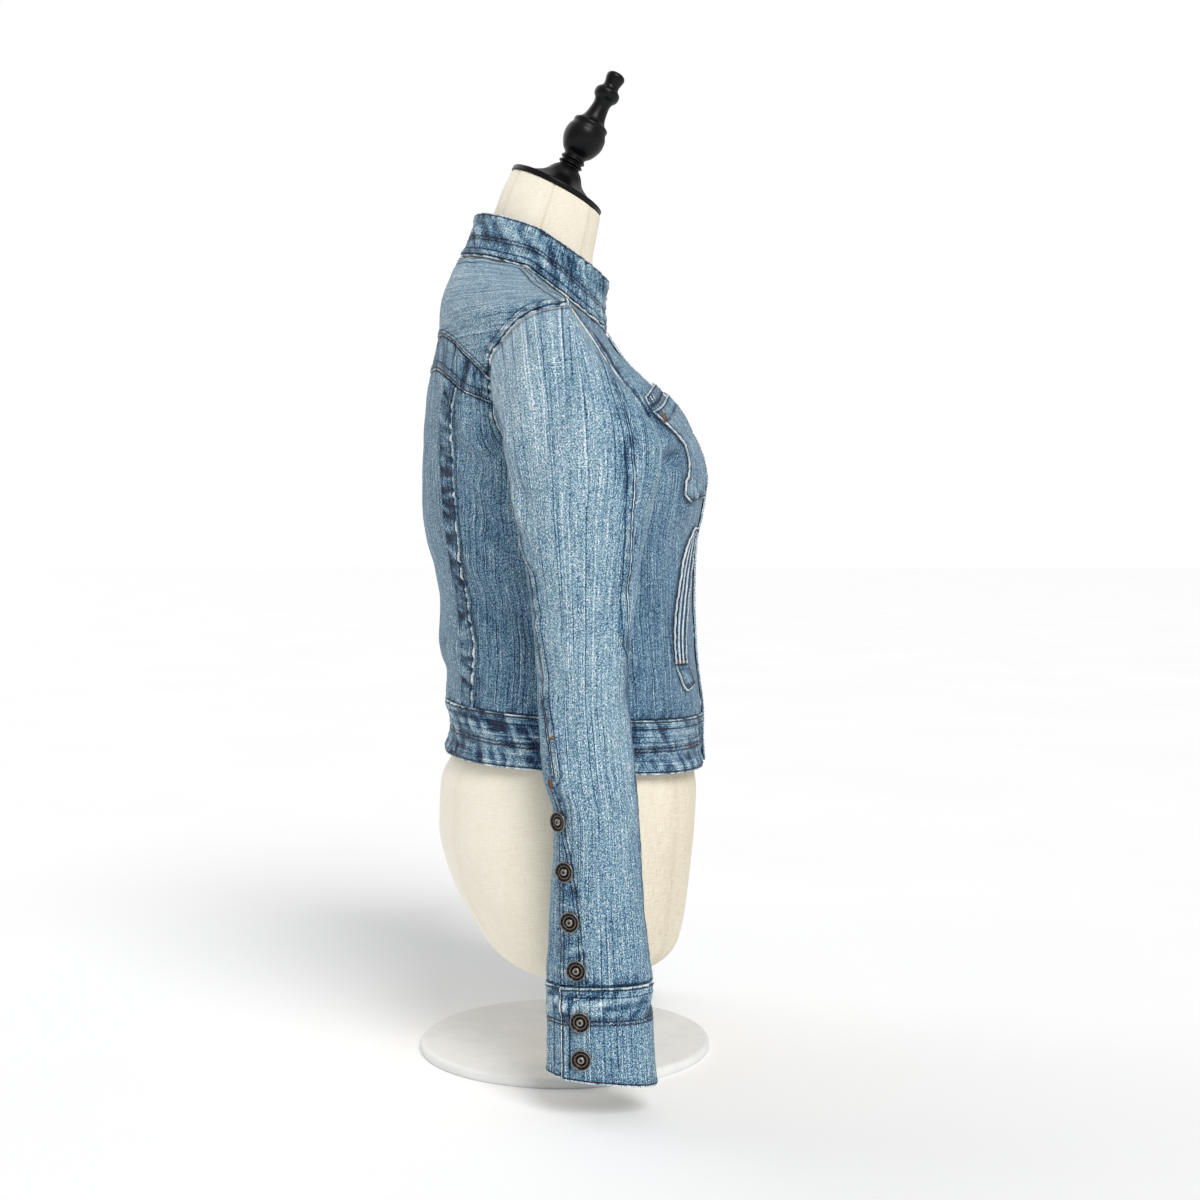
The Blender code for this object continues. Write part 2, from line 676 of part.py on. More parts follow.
def sleeve_grid(levels, left, right, columns):
    level = np.array(levels, float)[:, None]
    u = np.linspace(0, 1, columns)[None, :]
    degrees = left[:, None] * (1 - u) + right[:, None] * u
    return level + 0 * u, degrees


def build_sleeves():
    levels = np.array(SLEEVE_LEVELS, float)
    front, back = SLEEVE_SEAM_TABLE(levels)
    top = sleeve_grid(levels, front, back, 9)
    put_pair("top_sleeve", "denim", *wall(sleeve(*top), sleeve(*top, -WALL)))
    under = sleeve_grid(levels, back, front + 360, 13)
    put_pair("under_sleeve", "denim", *wall(sleeve(*under), sleeve(*under, -WALL)))

    levels = np.linspace(VENT[0][0], VENT[-1][0], 8)
    edge, inner = VENT_TABLE(levels)
    vent = sleeve_grid(levels, edge, inner, 4)
    put_pair("vent_placket", "denim", *wall(sleeve(*vent, LAID + WALL), sleeve(*vent, LAID)))

    level = np.array(CUFF_LEVELS)[:, None]
    around = np.concatenate([np.linspace(CUFF_START, 0, 4), np.linspace(-15, CUFF_END, 22)])[None, :]
    lap = np.clip(1 - (CUFF_START - around) / CUFF_LAP / 2, 0, 1) * (LAID + WALL) + 0 * level
    grid = (level + 0 * around, around + 0 * level)
    put_pair("cuff", "denim", *wall(sleeve(*grid, lap), sleeve(*grid, lap - WALL)))


def turned(profile, base, axis, sides):
    """Points and faces of a profile turned about an axis. Its two ends lie on the axis."""
    axis = unit(np.array(axis, float))
    helper = np.array([1.0, 0, 0]) if abs(axis[0]) < 0.7 else np.array([0, 1.0, 0])
    one = unit(np.cross(axis, helper))
    two = np.cross(axis, one)
    angle = np.arange(sides) * 2 * np.pi / sides
    spokes = np.cos(angle)[:, None] * one + np.sin(angle)[:, None] * two
    rings = profile[1:-1]
    points = [np.array(base) + axis * profile[0][1], np.array(base) + axis * profile[-1][1]]
    for radius, height in rings:
        points.extend(np.array(base) + axis * height + spokes * radius)
    faces = []
    for k in range(sides):
        after = (k + 1) % sides
        faces.append((0, 2 + after, 2 + k))
        for ring in range(len(rings) - 1):
            a, b = 2 + ring * sides + k, 2 + ring * sides + after
            faces.append((a, b, b + sides, a + sides))
        end = 2 + (len(rings) - 1) * sides
        faces.append((1, end + k, end + after))
    return np.array(points), faces


def build_buttons():
    for group, rows, lift in (
        ("vent_button", SLEEVE_BUTTONS, 2 * LAID + WALL),
        ("cuff_button", CUFF_BUTTONS, 2 * LAID + WALL),
    ):
        for number, (level, degrees) in enumerate(rows, 1):
            foot = sleeve(level, degrees, lift)
            tip = sleeve(level, degrees, lift + 1)
            made = turned(BUTTON, foot, tip - foot, BUTTON_SIDES)
            put_pair(f"{group}_{number}", "button_metal", *made)


def build_form():
    around = np.arange(0, 360, 360 / 26)[None, :]
    places = np.array([row[0] for row in FORM], float)[:, None]
    rings = ring_point(FORM_TABLE, places + 0 * around, around + 0 * places)
    rows, columns = rings.shape[:2]
    points = np.concatenate([rings.reshape(-1, 3), [rings[0].mean(axis=0), rings[-1].mean(axis=0)]])
    faces = []
    for j in range(columns):
        after = (j + 1) % columns
        for i in range(rows - 1):
            a, b = i * columns + j, i * columns + after
            faces.append((a, b, b + columns, a + columns))
        faces.append((rows * columns, after, j))
        end = (rows - 1) * columns
        faces.append((rows * columns + 1, end + j, end + after))
    put("dress_form", "linen", points, faces)

    lean = np.radians(CAP_LEAN)
    axis = (0, -np.sin(lean), np.cos(lean))
    put("neck_cap", "dark_wood", *turned(NECK_CAP, CAP_AXIS_BASE, axis, 20))
    put("stand_pole", "white_paint", *turned(POLE, (0, 0, 0), (0, 0, 1), 20))
    put("stand_base", "white_paint", *turned(BASE, (0, 0, 0), (0, 0, 1), 48))


for old in list(bpy.data.objects):
    bpy.data.objects.remove(old, do_unlink=True)
build_body()
build_pockets()
build_collar()
build_sleeves()
build_buttons()
build_form()
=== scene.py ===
"""Looks of a fitted denim jacket worn by a limbless dress form.

An add-on in one file: every group of pieces has its sizes in a PropertyGroup and is built by an
Operator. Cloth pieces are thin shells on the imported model's own surfaces, with finer creases,
puckered seams and stitches. Lengths in the tables are millimetres and angles are degrees: on the
body 0 is the centre front, 90 the wearer's right side and 180 the centre back; on a sleeve 0 is
its outer side, 90 its back and -90 its front.
"""

from itertools import product

import bpy
import numpy as np
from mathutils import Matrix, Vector
from mathutils.bvhtree import BVHTree


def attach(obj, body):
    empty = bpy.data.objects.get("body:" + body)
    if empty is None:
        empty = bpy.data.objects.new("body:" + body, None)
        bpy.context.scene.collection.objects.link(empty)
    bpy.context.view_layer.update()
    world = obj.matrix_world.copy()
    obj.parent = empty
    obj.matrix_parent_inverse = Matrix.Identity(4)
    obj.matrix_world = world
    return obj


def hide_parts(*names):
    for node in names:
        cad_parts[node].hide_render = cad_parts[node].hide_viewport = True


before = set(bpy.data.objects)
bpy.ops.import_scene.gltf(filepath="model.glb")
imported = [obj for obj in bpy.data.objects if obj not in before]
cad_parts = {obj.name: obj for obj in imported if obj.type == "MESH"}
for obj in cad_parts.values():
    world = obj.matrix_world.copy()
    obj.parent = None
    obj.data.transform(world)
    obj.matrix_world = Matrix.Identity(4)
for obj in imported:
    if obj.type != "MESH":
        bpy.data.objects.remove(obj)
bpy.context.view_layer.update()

bl_info = {
    "name": "Denim jacket",
    "version": (1, 0, 0),
    "blender": (4, 5, 0),
    "location": "View3D > Sidebar > Jacket",
    "description": "Builds the looks of a denim jacket on a dress form",
    "category": "Object",
}

MM = 0.001
WALL = 1.6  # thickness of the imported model's cloth
SEAM = 0.55  # gap between two pieces that are sewn edge to edge
SEAM_DOWN = 0.08  # the same gap in the body's rows
LAID = 0.9  # how far a laid piece lies above the cloth under it
OVER = 1.3  # the same for a piece on the body
FACE = 0.9  # how far a laid piece's own outer face lies above that
THIN = 1.1  # thickness of a laid piece's shell
CENTRE = 0.05  # how far the fronts stop short of the middle, in degrees
BODY_NAME = "root"

# Double rows of stitches: how far their middle is from the top edge, and half their distance apart.
HEM_ROWS, COLLAR_ROWS, CUFF_ROWS, ROWS_APART = 24.2, 17.4, 27.0, 1.4

# The body's rings, from the neck seam (down = 0) to the hem's lower edge (down = 105).
# down, side_x, side_y, side_z, front_y, front_z, back_y, back_z, power
BODY = [
    (0, 64, 31, 664, -36, 617, 91, 682, 2.0),
    (8, 104, 20, 649, -46.5, 599, 101, 661, 2.1),
    (16, 146, 7, 633, -61.5, 581, 106.5, 637, 2.3),
    (24, 184, -7, 616.5, -78.6, 566, 108.5, 612, 2.15),
    (31, 177, -4, 590, -96.4, 551, 113, 588, 2.15),
    (38, 166, -3, 563, -109.2, 529, 118, 562, 2.2),
    (45, 157, -2, 535, -116.8, 512, 121.5, 530, 2.2),
    (52, 151, 0, 508, -121.3, 490, 123.5, 498, 2.2),
    (60, 148, 2, 470, -117.8, 464, 122.5, 466, 2.2),
    (66, 144, 3, 440, -111.3, 436, 119, 440, 2.2),
    (72, 139, 2, 412, -110.8, 408, 111.5, 412, 2.2),
    (78, 137, 0, 383, -110.1, 380, 107, 383, 2.2),
    (84, 139, 0, 352, -112.1, 349, 108.5, 353, 2.2),
    (90, 144, 0, 322, -114.8, 318, 103, 325, 2.2),
    (95, 147, 0, 298, -117.8, 291, 102, 305, 2.2),
    (100, 148, 0, 278, -117.4, 270, 98, 281, 2.2),
    (105, 149, 0, 256, -119.6, 246, 102.7, 260, 2.2),
]

# The band collar's rings, from the neck seam (0) to its top edge (1).
COLLAR = [
    (0, 64, 31, 665.5, -36, 618.5, 91, 683.5, 2.0),
    (0.5, 61, 25.5, 683, -34.5, 641, 83, 701, 2.0),
    (1, 57.5, 20, 700, -37.5, 663.5, 76, 721, 2.0),
]
COLLAR_END = 2.5  # degrees from the centre front to each end of the collar

# The dress form's rings, from the top of its neck to its underside.
FORM = [
    (0, 42, 8, 739.6, -30.5, 719.3, 46, 759.1, 2.0),
    (1, 43.5, 14, 720, -27, 700, 55, 741, 2.0),
    (2, 45, 20, 702, -24, 682, 61, 724, 2.0),
    (3, 49, 26, 684, -24, 662, 68, 704, 2.0),
    (4, 54, 30, 668, -26, 638, 77, 688, 2.0),
    (5, 60, 31, 657, -28.5, 612, 84, 673, 2.0),
    (6, 100, 21, 642, -38, 588, 94, 654, 2.1),
    (7, 142, 8, 626, -55, 575, 99, 630, 2.3),
    (8, 176, -4, 606, -74, 560, 101, 605, 2.15),
    (9, 168, -4, 585, -91, 546, 105, 583, 2.15),
    (10, 156, -3, 558, -102, 524, 110, 557, 2.2),
    (11, 147, -2, 530, -109, 508, 113.5, 526, 2.2),
    (12, 141, 0, 503, -113.5, 486, 115.5, 494, 2.2),
    (13, 138, 2, 466, -110, 460, 114.5, 462, 2.2),
    (14, 134, 3, 438, -103.5, 434, 111, 438, 2.2),
    (15, 129, 2, 411, -102.5, 407, 103.5, 411, 2.2),
    (16, 127, 0, 383, -102, 380, 99, 383, 2.2),
    (17, 129, 0, 352, -104, 349, 99.5, 353, 2.2),
    (18, 134, 0, 322, -106.5, 318, 94.5, 325, 2.2),
    (19, 138, 0, 298, -109, 291, 93, 305, 2.2),
    (20, 139, 0, 278, -109, 270, 89.5, 281, 2.2),
    (21, 142, 0, 256, -111, 246, 94.5, 260, 2.2),
    (22, 147, 0, 230, -113.5, 226, 106.5, 233, 2.2),
    (23, 149, 0, 195, -112, 195, 108, 195, 2.2),
    (24, 148, 0, 155, -108, 155, 98, 155, 2.2),
    (25, 143, 0, 126, -104.5, 126, 83, 127, 2.2),
    (26, 132, 0, 100, -98.5, 98, 64, 98, 2.2),
    (27, 112, -5, 85, -87, 84, 45, 84, 2.2),
    (28, 70, -6, 78, -55, 78, 30, 77, 2.0),
    (29, 18, 0, 76, -18, 76, 18, 76, 2.0),
]

# The armhole's two edges on the body, from the shoulder's tip to the underarm.
ARM_MIDDLE, ARM_HALF = 38, 14  # the middle of the armhole and half its height, in rows
ARMHOLE = [  # down, front, back
    (24, 90, 90),
    (24.69, 78, 98.7),
    (26.67, 66.5, 106.5),
    (29.77, 61.8, 112.2),
    (33.67, 62.5, 117.2),
    (38, 62.5, 116.5),
    (42.33, 60.8, 114.8),
    (46.23, 61.6, 112.5),
    (49.33, 66.8, 107.4),
    (51.31, 78, 100.2),
    (52, 91, 91),
]

# Seams that cross the back, and the seam down each side of the centre back.
YOKE_SEAM = [(116.5, 38), (131, 32.3), (142, 28.6), (158, 25.5), (180, 24.5)]  # degrees, down
BAND_SEAM = [(114.8, 42.33), (130.8, 39.2), (141.5, 36.2), (156, 33.6), (180, 33)]  # degrees, down
BACK_SEAM = [  # down, degrees
    (36, 131.7),
    (44, 134.3),
    (52, 132.1),
    (60, 131),
    (66, 130.7),
    (72, 133.1),
    (78, 132.1),
    (84, 127.1),
    (90, 130.7),
    (95, 132.2),
]
STRIP_DEGREES = 9  # width of the raised strip beside each back seam
HEM_SEAM = 95
HEM = 105

# Pieces that lie on the front.
# Each row is a line across the piece, from its outer edge to its inner one.
CHEST_POCKET = [  # outer_down, outer_degrees, inner_down, inner_degrees
    (38.3, 49.8, 27.2, 14.5),
    (40.8, 43.2, 32, 14),
    (43.7, 36.2, 37.8, 13.5),
    (47.1, 33.2, 43.6, 13.5),
    (51.3, 34, 49.2, 13),
    (54.9, 37, 52.8, 12.5),
    (57, 36.7, 54.8, 12),
    (58.3, 33.6, 56, 12),
    (58.9, 29, 56.7, 12),
]
POCKET_BAND = [(35.4, 51.5, 23.2, 14.5), (37.7, 50.4, 26.4, 14.5)]
WELT = [
    (63.2, 18.4, 63.2, 10.5),
    (66, 24.5, 66, 12.2),
    (69, 29.3, 69, 15.2),
    (73, 32.8, 73, 19),
    (77, 34.9, 77, 22.2),
    (81, 37.4, 81, 24.8),
    (84, 38.5, 84, 26.6),
    (86.6, 38.4, 86.6, 27.6),
]
WELT_TAB = [(86.8, 38.3, 86.8, 26.6), (88.6, 36, 88, 24.2), (90.4, 33.2, 89.6, 22), (91, 30, 90.2, 21.4)]
PLACKET_HALF = 15.5

# The sleeve's rings below the armhole: level is the distance below the underarm line.
UNDERARM_Z = 505
SLEEVE = [  # level, mid_y, half_y, mid_x, half_x
    (0, -17.2, 60.5, 184.5, 32),
    (21, -18.5, 57.7, 184.5, 32),
    (53, -16.8, 50.3, 184, 31),
    (68, -17, 47.9, 183.5, 30),
    (105, -17, 41.8, 181, 29),
    (142, -17.2, 37.5, 179.5, 28),
    (185, -17.2, 34.4, 179.5, 27),
    (221, -19.5, 35.2, 180.5, 26),
    (246, -21.7, 35.2, 181.5, 26),
    (276, -27, 32.2, 182, 25.5),
    (301, -27.8, 32.9, 182, 25),
    (335, -27.8, 35.2, 182.5, 25),
    (370, -28.6, 37.5, 183, 24.5),
    (403, -29.3, 40, 183, 24),
    (437, -30.6, 40.7, 183, 23.5),
    (477, -32, 42.2, 183, 23),
]
SLEEVE_POWER = 2.2
CAP = 100  # levels above the underarm line that make up the sleeve's head
CAP_PULL = 1.05  # how far the head's cloth keeps its first direction
CAP_OUTWARD = 0.75  # how much of that direction is straight out
SLEEVE_END = 402.5  # level of the last row above the cuff
SLEEVE_SEAMS = [  # level, front, back
    (-100, -36, 108),
    (0, -38, 104),
    (53, -48, 94),
    (68, -51, 90),
    (105, -58, 71),
    (142, -66, 67),
    (155, -84, 65),
    (185, -97, 61),
    (215, -100, 53),
    (243, -100, 48),
    (276, -100, 50),
    (315, -100, 46),
    (355, -100, 42),
    (403, -100, 40),
]
VENT = [(247, 56, 42), (276, 57, 40), (315, 52, 25), (355, 48, 15), (402, 45, 8)]  # level, edge, inner
CUFF_TOP, CUFF_EDGE = 403.6, 477
CUFF_DROP = 5  # how much lower the cuff's edge is at its front than at its back
CUFF_START, CUFF_END = 43, -342  # degrees of its outer and its hidden end
CUFF_LAP = 30  # degrees over which the outer end lies above the hidden one

# Metal buttons on the wrist: level and angle of each centre.
SLEEVE_BUTTONS = [(279.5, 49), (317, 38), (354, 29), (390, 21)]
CUFF_BUTTONS = [(429, 18), (458, 18)]

# Largest folds: each runs from one point of its surface to another. Height < 0 is a trough.
BODY_STEP = (4.4, 2.3)  # millimetres in one unit of down and in one degree
BODY_FOLDS = [  # down, degrees, down, degrees, half_width, height
    (41, 127.5, 48, 112.5, 7, -2.6),
    (50, 130, 57, 111, 8, -3.2),
    (45.5, 129.5, 53, 111, 8, 1.8),
    (58.5, 128, 68, 106, 8, -3.0),
    (54, 129, 62, 109, 8, 1.6),
    (75, 131, 79, 105, 9, -3.4),
    (70, 129.5, 74, 105, 8, 1.8),
    (86, 126, 90, 102, 8, -2.4),
    (52, 52, 48.2, 38, 6, -3.4),
    (48.4, 52, 45, 40, 7, 2.0),
    (61, 60, 70, 83, 9, -2.4),
    (79, 53, 76, 80.5, 9, -2.6),
    (88, 46, 92, 83, 9, 1.8),
    (47, 172, 60, 162, 10, -2.2),
    (88, 153, 91, 177, 9, -3.0),
]
SLEEVE_STEP = (1.0, 0.72)
SLEEVE_FOLDS = [  # level, degrees, level, degrees, half_width, height
    (-40, 20, 60, 62, 12, -3.0),
    (-52, -28, 40, -66, 12, -2.6),
    (8, 96, 52, 44, 10, -2.6),
    (84, 86, 112, 22, 9, -2.8),
    (118, 78, 132, 8, 9, -2.4),
    (96, -76, 124, -22, 9, -2.2),
    (166, 62, 184, 0, 8, -2.0),
    (214, -76, 236, -18, 8, -2.0),
    (296, -80, 318, -24, 8, -1.8),
    (20, 176, 60, 140, 12, -2.6),
    (110, 150, 134, 206, 10, -2.6),
    (230, 140, 250, 200, 9, -2.0),
]

# Turned parts: radius and height along the axis.
CAP_AXIS_BASE = (0, 8.2, 740.4)
CAP_LEAN = 27.5  # degrees forward of upright
NECK_CAP = [
    (0, 0), (43, 0), (43, 3.4), (36, 5.6), (26, 9.6), (18, 15), (13.5, 21.5), (11, 24), (9, 26),
    (11, 28.2), (9, 30.4), (11, 32.6), (9.6, 35), (14, 41), (18.2, 52), (17.6, 59), (15.5, 64.5),
    (15.8, 66.5), (11, 71), (8.2, 80), (8.2, 90), (10.9, 94), (10.9, 99), (7.4, 103),
    (7.4, 115.5), (5, 117), (0, 117),
]
POLE = [(0, 8.4), (12, 8.4), (12, 75.6), (0, 75.6)]
BASE = [(0, 0), (124, 0), (125, 1), (125, 5.2), (124.2, 6.8), (122.4, 7.8), (120, 8), (0, 8)]



def eased(s, start, first_way, end, last_way):
    """A point between start and end on a curve that leaves and arrives along these ways."""
    leaving = (2 * s**3 - 3 * s**2 + 1) * start + (s**3 - 2 * s**2 + s) * first_way
    return leaving + (3 * s**2 - 2 * s**3) * end + (s**3 - s**2) * last_way


class Table:
    """A table whose first column is the place, read between its rows with smooth slopes."""

    def __init__(self, rows):
        rows = np.array(rows, float)
        self.at, self.values = rows[:, 0], rows[:, 1:]
        slope = np.diff(self.values, axis=0) / np.diff(self.at)[:, None]
        same = slope[:-1] * slope[1:] > 0
        total = np.where(same, slope[:-1] + slope[1:], 1)
        inner = np.where(same, 2 * slope[:-1] * slope[1:] / total, 0)
        self.slope = np.vstack([slope[:1], inner, slope[-1:]])

    def __call__(self, place):
        place = np.asarray(place, float)
        last = len(self.at) - 2
        i = np.clip(np.searchsorted(self.at, place, side="right") - 1, 0, last)
        step = self.at[i + 1] - self.at[i]
        s = np.clip((place - self.at[i]) / step, 0, 1)[..., None]
        ways = step[..., None] * self.slope[i], step[..., None] * self.slope[i + 1]
        return np.moveaxis(eased(s, self.values[i], ways[0], self.values[i + 1], ways[1]), -1, 0)


class Rings(Table):
    """A table of rings, which also gives its front edge's y at a height."""

    def __init__(self, rows):
        super().__init__(rows)
        self.front = Table(sorted((row[5], row[4]) for row in rows))

    def front_at(self, z):
        lowest, highest = self.front.at[[0, -1]]
        return self.front(np.clip(z, lowest, highest))[0]


BODY_TABLE = Rings(BODY)
COLLAR_TABLE = Rings(COLLAR)
FORM_TABLE = Rings(FORM)
ARMHOLE_TABLE = Table(ARMHOLE)
BACK_SEAM_TABLE = Table(BACK_SEAM)
SLEEVE_TABLE = Table(SLEEVE)
SLEEVE_SEAM_TABLE = Table(SLEEVE_SEAMS)
VENT_TABLE = Table(VENT)


def ring_point(table, place, degrees):
    """The point of a ringed surface at a place along it and an angle around it.

    In front, the surface is as deep at each height as the table's front edge is there.
    """
    side_x, side_y, side_z, front_y, front_z, back_y, back_z, power = table(place)
    angle = np.radians(degrees)
    across, along = np.sin(angle), np.cos(angle)
    is_front = along > 0
    z = side_z + (np.where(is_front, front_z, back_z) - side_z) * np.abs(along)
    depth = np.where(is_front, side_y - table.front_at(z), back_y - side_y)
    x = -side_x * np.sign(across) * np.abs(across) ** (2 / power)
    y = side_y - np.sign(along) * np.abs(along) ** (2 / power) * depth
    return np.stack([x, y, z], axis=-1)


def fold_height(folds, step, place, degrees):
    """How far the folds of a table lift the cloth at a place and an angle."""
    lift = np.zeros(np.broadcast(place, degrees).shape)
    for place_a, degrees_a, place_b, degrees_b, half_width, height in folds:
        run = np.array([(place_b - place_a) * step[0], (degrees_b - degrees_a) * step[1]])
        dx = (place - place_a) * step[0]
        dy = (degrees - degrees_a) * step[1]
        share = (dx * run[0] + dy * run[1]) / (run @ run)
        inside = np.clip(share, 0, 1)
        apart = np.hypot(dx - inside * run[0], dy - inside * run[1]) / half_width
        taper = np.sin(np.pi * np.clip(0.15 + 0.7 * share, 0, 1))
        lift = lift + height * taper * np.exp(-apart * apart)
    return lift


def from_front(degrees):
    """The angle from the centre front, on whichever side is nearer."""
    return np.abs(np.where(degrees > 180, 360 - degrees, degrees))


def hump(value, middle, width, power=2):
    """1 where the value is at the middle, falling smoothly to 0 over about this width."""
    return np.exp(-(((value - middle) / width) ** power))


def blend(first, last, share):
    return first * (1 - share) + last * share


def unit(vectors):
    return vectors / np.linalg.norm(vectors, axis=-1, keepdims=True)


def moved_out(point_of, place, degrees, place_step, degree_step, outward, lift):
    """Points of a surface moved along its normal by lift. outward tells which way that is."""
    along = point_of(place + place_step, degrees) - point_of(place - place_step, degrees)
    around = point_of(place, degrees + degree_step) - point_of(place, degrees - degree_step)
    normal = unit(np.cross(along, around))
    points = point_of(place, degrees)
    facing = np.sum(normal * outward(points), axis=-1, keepdims=True)
    normal = np.where(facing < 0, -normal, normal)
    return points + normal * np.asarray(lift)[..., None]


def from_axis(points):
    """Directions away from the middle of the body, a little upwards at the shoulders."""
    ways = points - np.array([0, 12, 0])
    ways[..., 2] = np.clip(points[..., 2] - 560, 0, 60)
    return ways


def body(down, degrees, lift=0.0):
    """The jacket's body: its outer face is at lift 0. Angles over 180 are the wearer's left."""
    down, degrees = np.broadcast_arrays(np.asarray(down, float), np.asarray(degrees, float))
    lift = lift + fold_height(BODY_FOLDS, BODY_STEP, down, from_front(degrees))

    def point_of(place, angle):
        return ring_point(BODY_TABLE, np.clip(place, 0, HEM), angle)

    return moved_out(point_of, down, degrees, 0.6, 1.5, from_axis, lift)


def collar(place, degrees, lift=0.0):
    def point_of(at, angle):
        return ring_point(COLLAR_TABLE, np.clip(at, 0, 1), angle)

    place, degrees = np.broadcast_arrays(np.asarray(place, float), np.asarray(degrees, float))
    return moved_out(point_of, place, degrees, 0.1, 1.5, from_axis, lift)


def armhole_point(degrees):
    """The armhole's edge on the body at an angle of the sleeve."""
    turn = (np.asarray(degrees, float) + 180) % 360 - 180
    down = ARM_MIDDLE - ARM_HALF * np.cos(np.radians(np.abs(turn)))
    front, back = ARMHOLE_TABLE(down)
    return body(down, np.where(turn < 0, front, back))


def sleeve_ring(level, degrees):
    mid_y, half_y, mid_x, half_x = SLEEVE_TABLE(level)
    angle = np.radians(degrees)
    out, back = np.cos(angle), np.sin(angle)
    x = -mid_x - half_x * np.sign(out) * np.abs(out) ** (2 / SLEEVE_POWER)
    y = mid_y + half_y * np.sign(back) * np.abs(back) ** (2 / SLEEVE_POWER)
    drop = CUFF_DROP * np.clip((level - 403) / 71, 0, 1) * back
    return np.stack([x, y, UNDERARM_Z - level + drop], axis=-1)


def sleeve_surface(level, degrees):
    """The wearer's right sleeve, without folds. Levels under 0 are its head."""
    lower = sleeve_ring(np.maximum(level, 0), degrees)
    start = armhole_point(degrees)
    end = sleeve_ring(np.zeros_like(lower[..., 0]), degrees)
    way = end - start
    reach = np.linalg.norm(way, axis=-1, keepdims=True)
    first = unit(unit(way) * (1 - CAP_OUTWARD) + np.array([-CAP_OUTWARD, 0, 0])) * reach * CAP_PULL
    last = np.array([0, 0, -1.0]) * reach * CAP_PULL
    s = np.clip(1 + np.minimum(level, 0) / CAP, 0, 1)[..., None]
    return np.where((level < 0)[..., None], eased(s, start, first, end, last), lower)


def sleeve(level, degrees, lift=0.0):
    """The wearer's right sleeve: its outer face is at lift 0."""
    level, degrees = np.broadcast_arrays(np.asarray(level, float), np.asarray(degrees, float))
    turn = (degrees + 180) % 360 - 180
    lift = lift + fold_height(SLEEVE_FOLDS, SLEEVE_STEP, level, turn)
    lift = lift + fold_height(SLEEVE_FOLDS, SLEEVE_STEP, level, turn + 360)
    fade = np.clip((level + CAP) / 30, 0, 1)

    def outward(points):
        return points - sleeve_middle(level)

    return moved_out(sleeve_surface, level, degrees, 1.5, 2.0, outward, lift * fade)


def sleeve_middle(level):
    """The middle of the hollow at a level, from which every wall faces away."""
    around = np.arange(0, 360, 36.0)
    return np.mean([sleeve_surface(level, np.full_like(level, a)) for a in around], axis=0)


def inset(points, by):
    """A grid of points with its edges moved inwards, so that its neighbours stay clear."""
    points = points.copy()
    for edge, beside in ((0, 1), (-1, -2)):
        points[edge] += unit(points[beside] - points[edge]) * by
    for edge, beside in ((0, 1), (-1, -2)):
        points[:, edge] += unit(points[:, beside] - points[:, edge]) * by
    return points


def angle_at(down, across):
    """The angle on the front of a point this far to the wearer's right of the centre."""
    side_x, power = BODY_TABLE(down)[[0, 7]]
    share = np.abs(across) / side_x
    return np.sign(across) * np.degrees(np.arcsin(share ** (power / 2)))


def panel_grid(shares_down, shares_across, top, bottom, left, right):
    """Places and angles of a grid between four edges, each given as a function of the other."""
    v = np.asarray(shares_down, float)[:, None]
    u = np.asarray(shares_across, float)[None, :]
    down = np.zeros((v.shape[0], u.shape[1])) + 50
    degrees = np.zeros_like(down) + 100
    for _ in range(40):
        down = blend(top(degrees), bottom(degrees), v)
        degrees = blend(left(down), right(down), u)
    return down, degrees


def around_table():
    """Lengths along the body's rings from the centre front, for whole levels and degrees."""
    places, angles = np.arange(HEM + 1.0)[:, None], np.arange(181.0)[None, :]
    points = ring_point(BODY_TABLE, places + 0 * angles, angles + 0 * places)
    steps = np.linalg.norm(np.diff(points, axis=1), axis=-1)
    return np.hstack([np.zeros((len(places), 1)), np.cumsum(steps, axis=1)])


AROUND = around_table()


def way_around(place, degrees):
    """How far a place on the body is from the centre front, or on the back from the centre back."""
    folded = np.clip(from_front(degrees), 0, 179.99)
    place = np.clip(place, 0, HEM - 0.01)
    i, j = place.astype(int), folded.astype(int)
    s, t = place - i, folded - j
    low = blend(AROUND[i, j], AROUND[i, j + 1], t)
    high = blend(AROUND[i + 1, j], AROUND[i + 1, j + 1], t)
    whole = blend(AROUND[i, -1], AROUND[i + 1, -1], s)
    way = blend(low, high, s)
    return np.where(folded < 95, way, np.where(degrees > 180, whole - way, way - whole))


def level_line(value):
    """An edge that stays at one value."""
    return lambda degrees: np.zeros_like(degrees) + value


def seam_across(rows, below=0.0):
    """A seam across the back, or the edge this far below it."""
    table = Table(rows)
    return lambda degrees: table(from_front(degrees))[0] + below


def arm_side(column):
    """A side edge: shoulder seam, armhole, and straight down below it."""
    tip = ARM_MIDDLE - ARM_HALF
    return lambda down: np.where(down < tip, 90, ARMHOLE_TABLE(down)[column])


yoke_seam, under_yoke = seam_across(YOKE_SEAM), seam_across(YOKE_SEAM, SEAM_DOWN)
band_seam, under_band = seam_across(BAND_SEAM), seam_across(BAND_SEAM, SEAM_DOWN)
front_side, back_side = arm_side(0), arm_side(1)


def mirrored(edge):
    """The same edge on the wearer's left."""
    return lambda down: 360 - edge(down)


def back_seam(down):
    return BACK_SEAM_TABLE(down)[0]




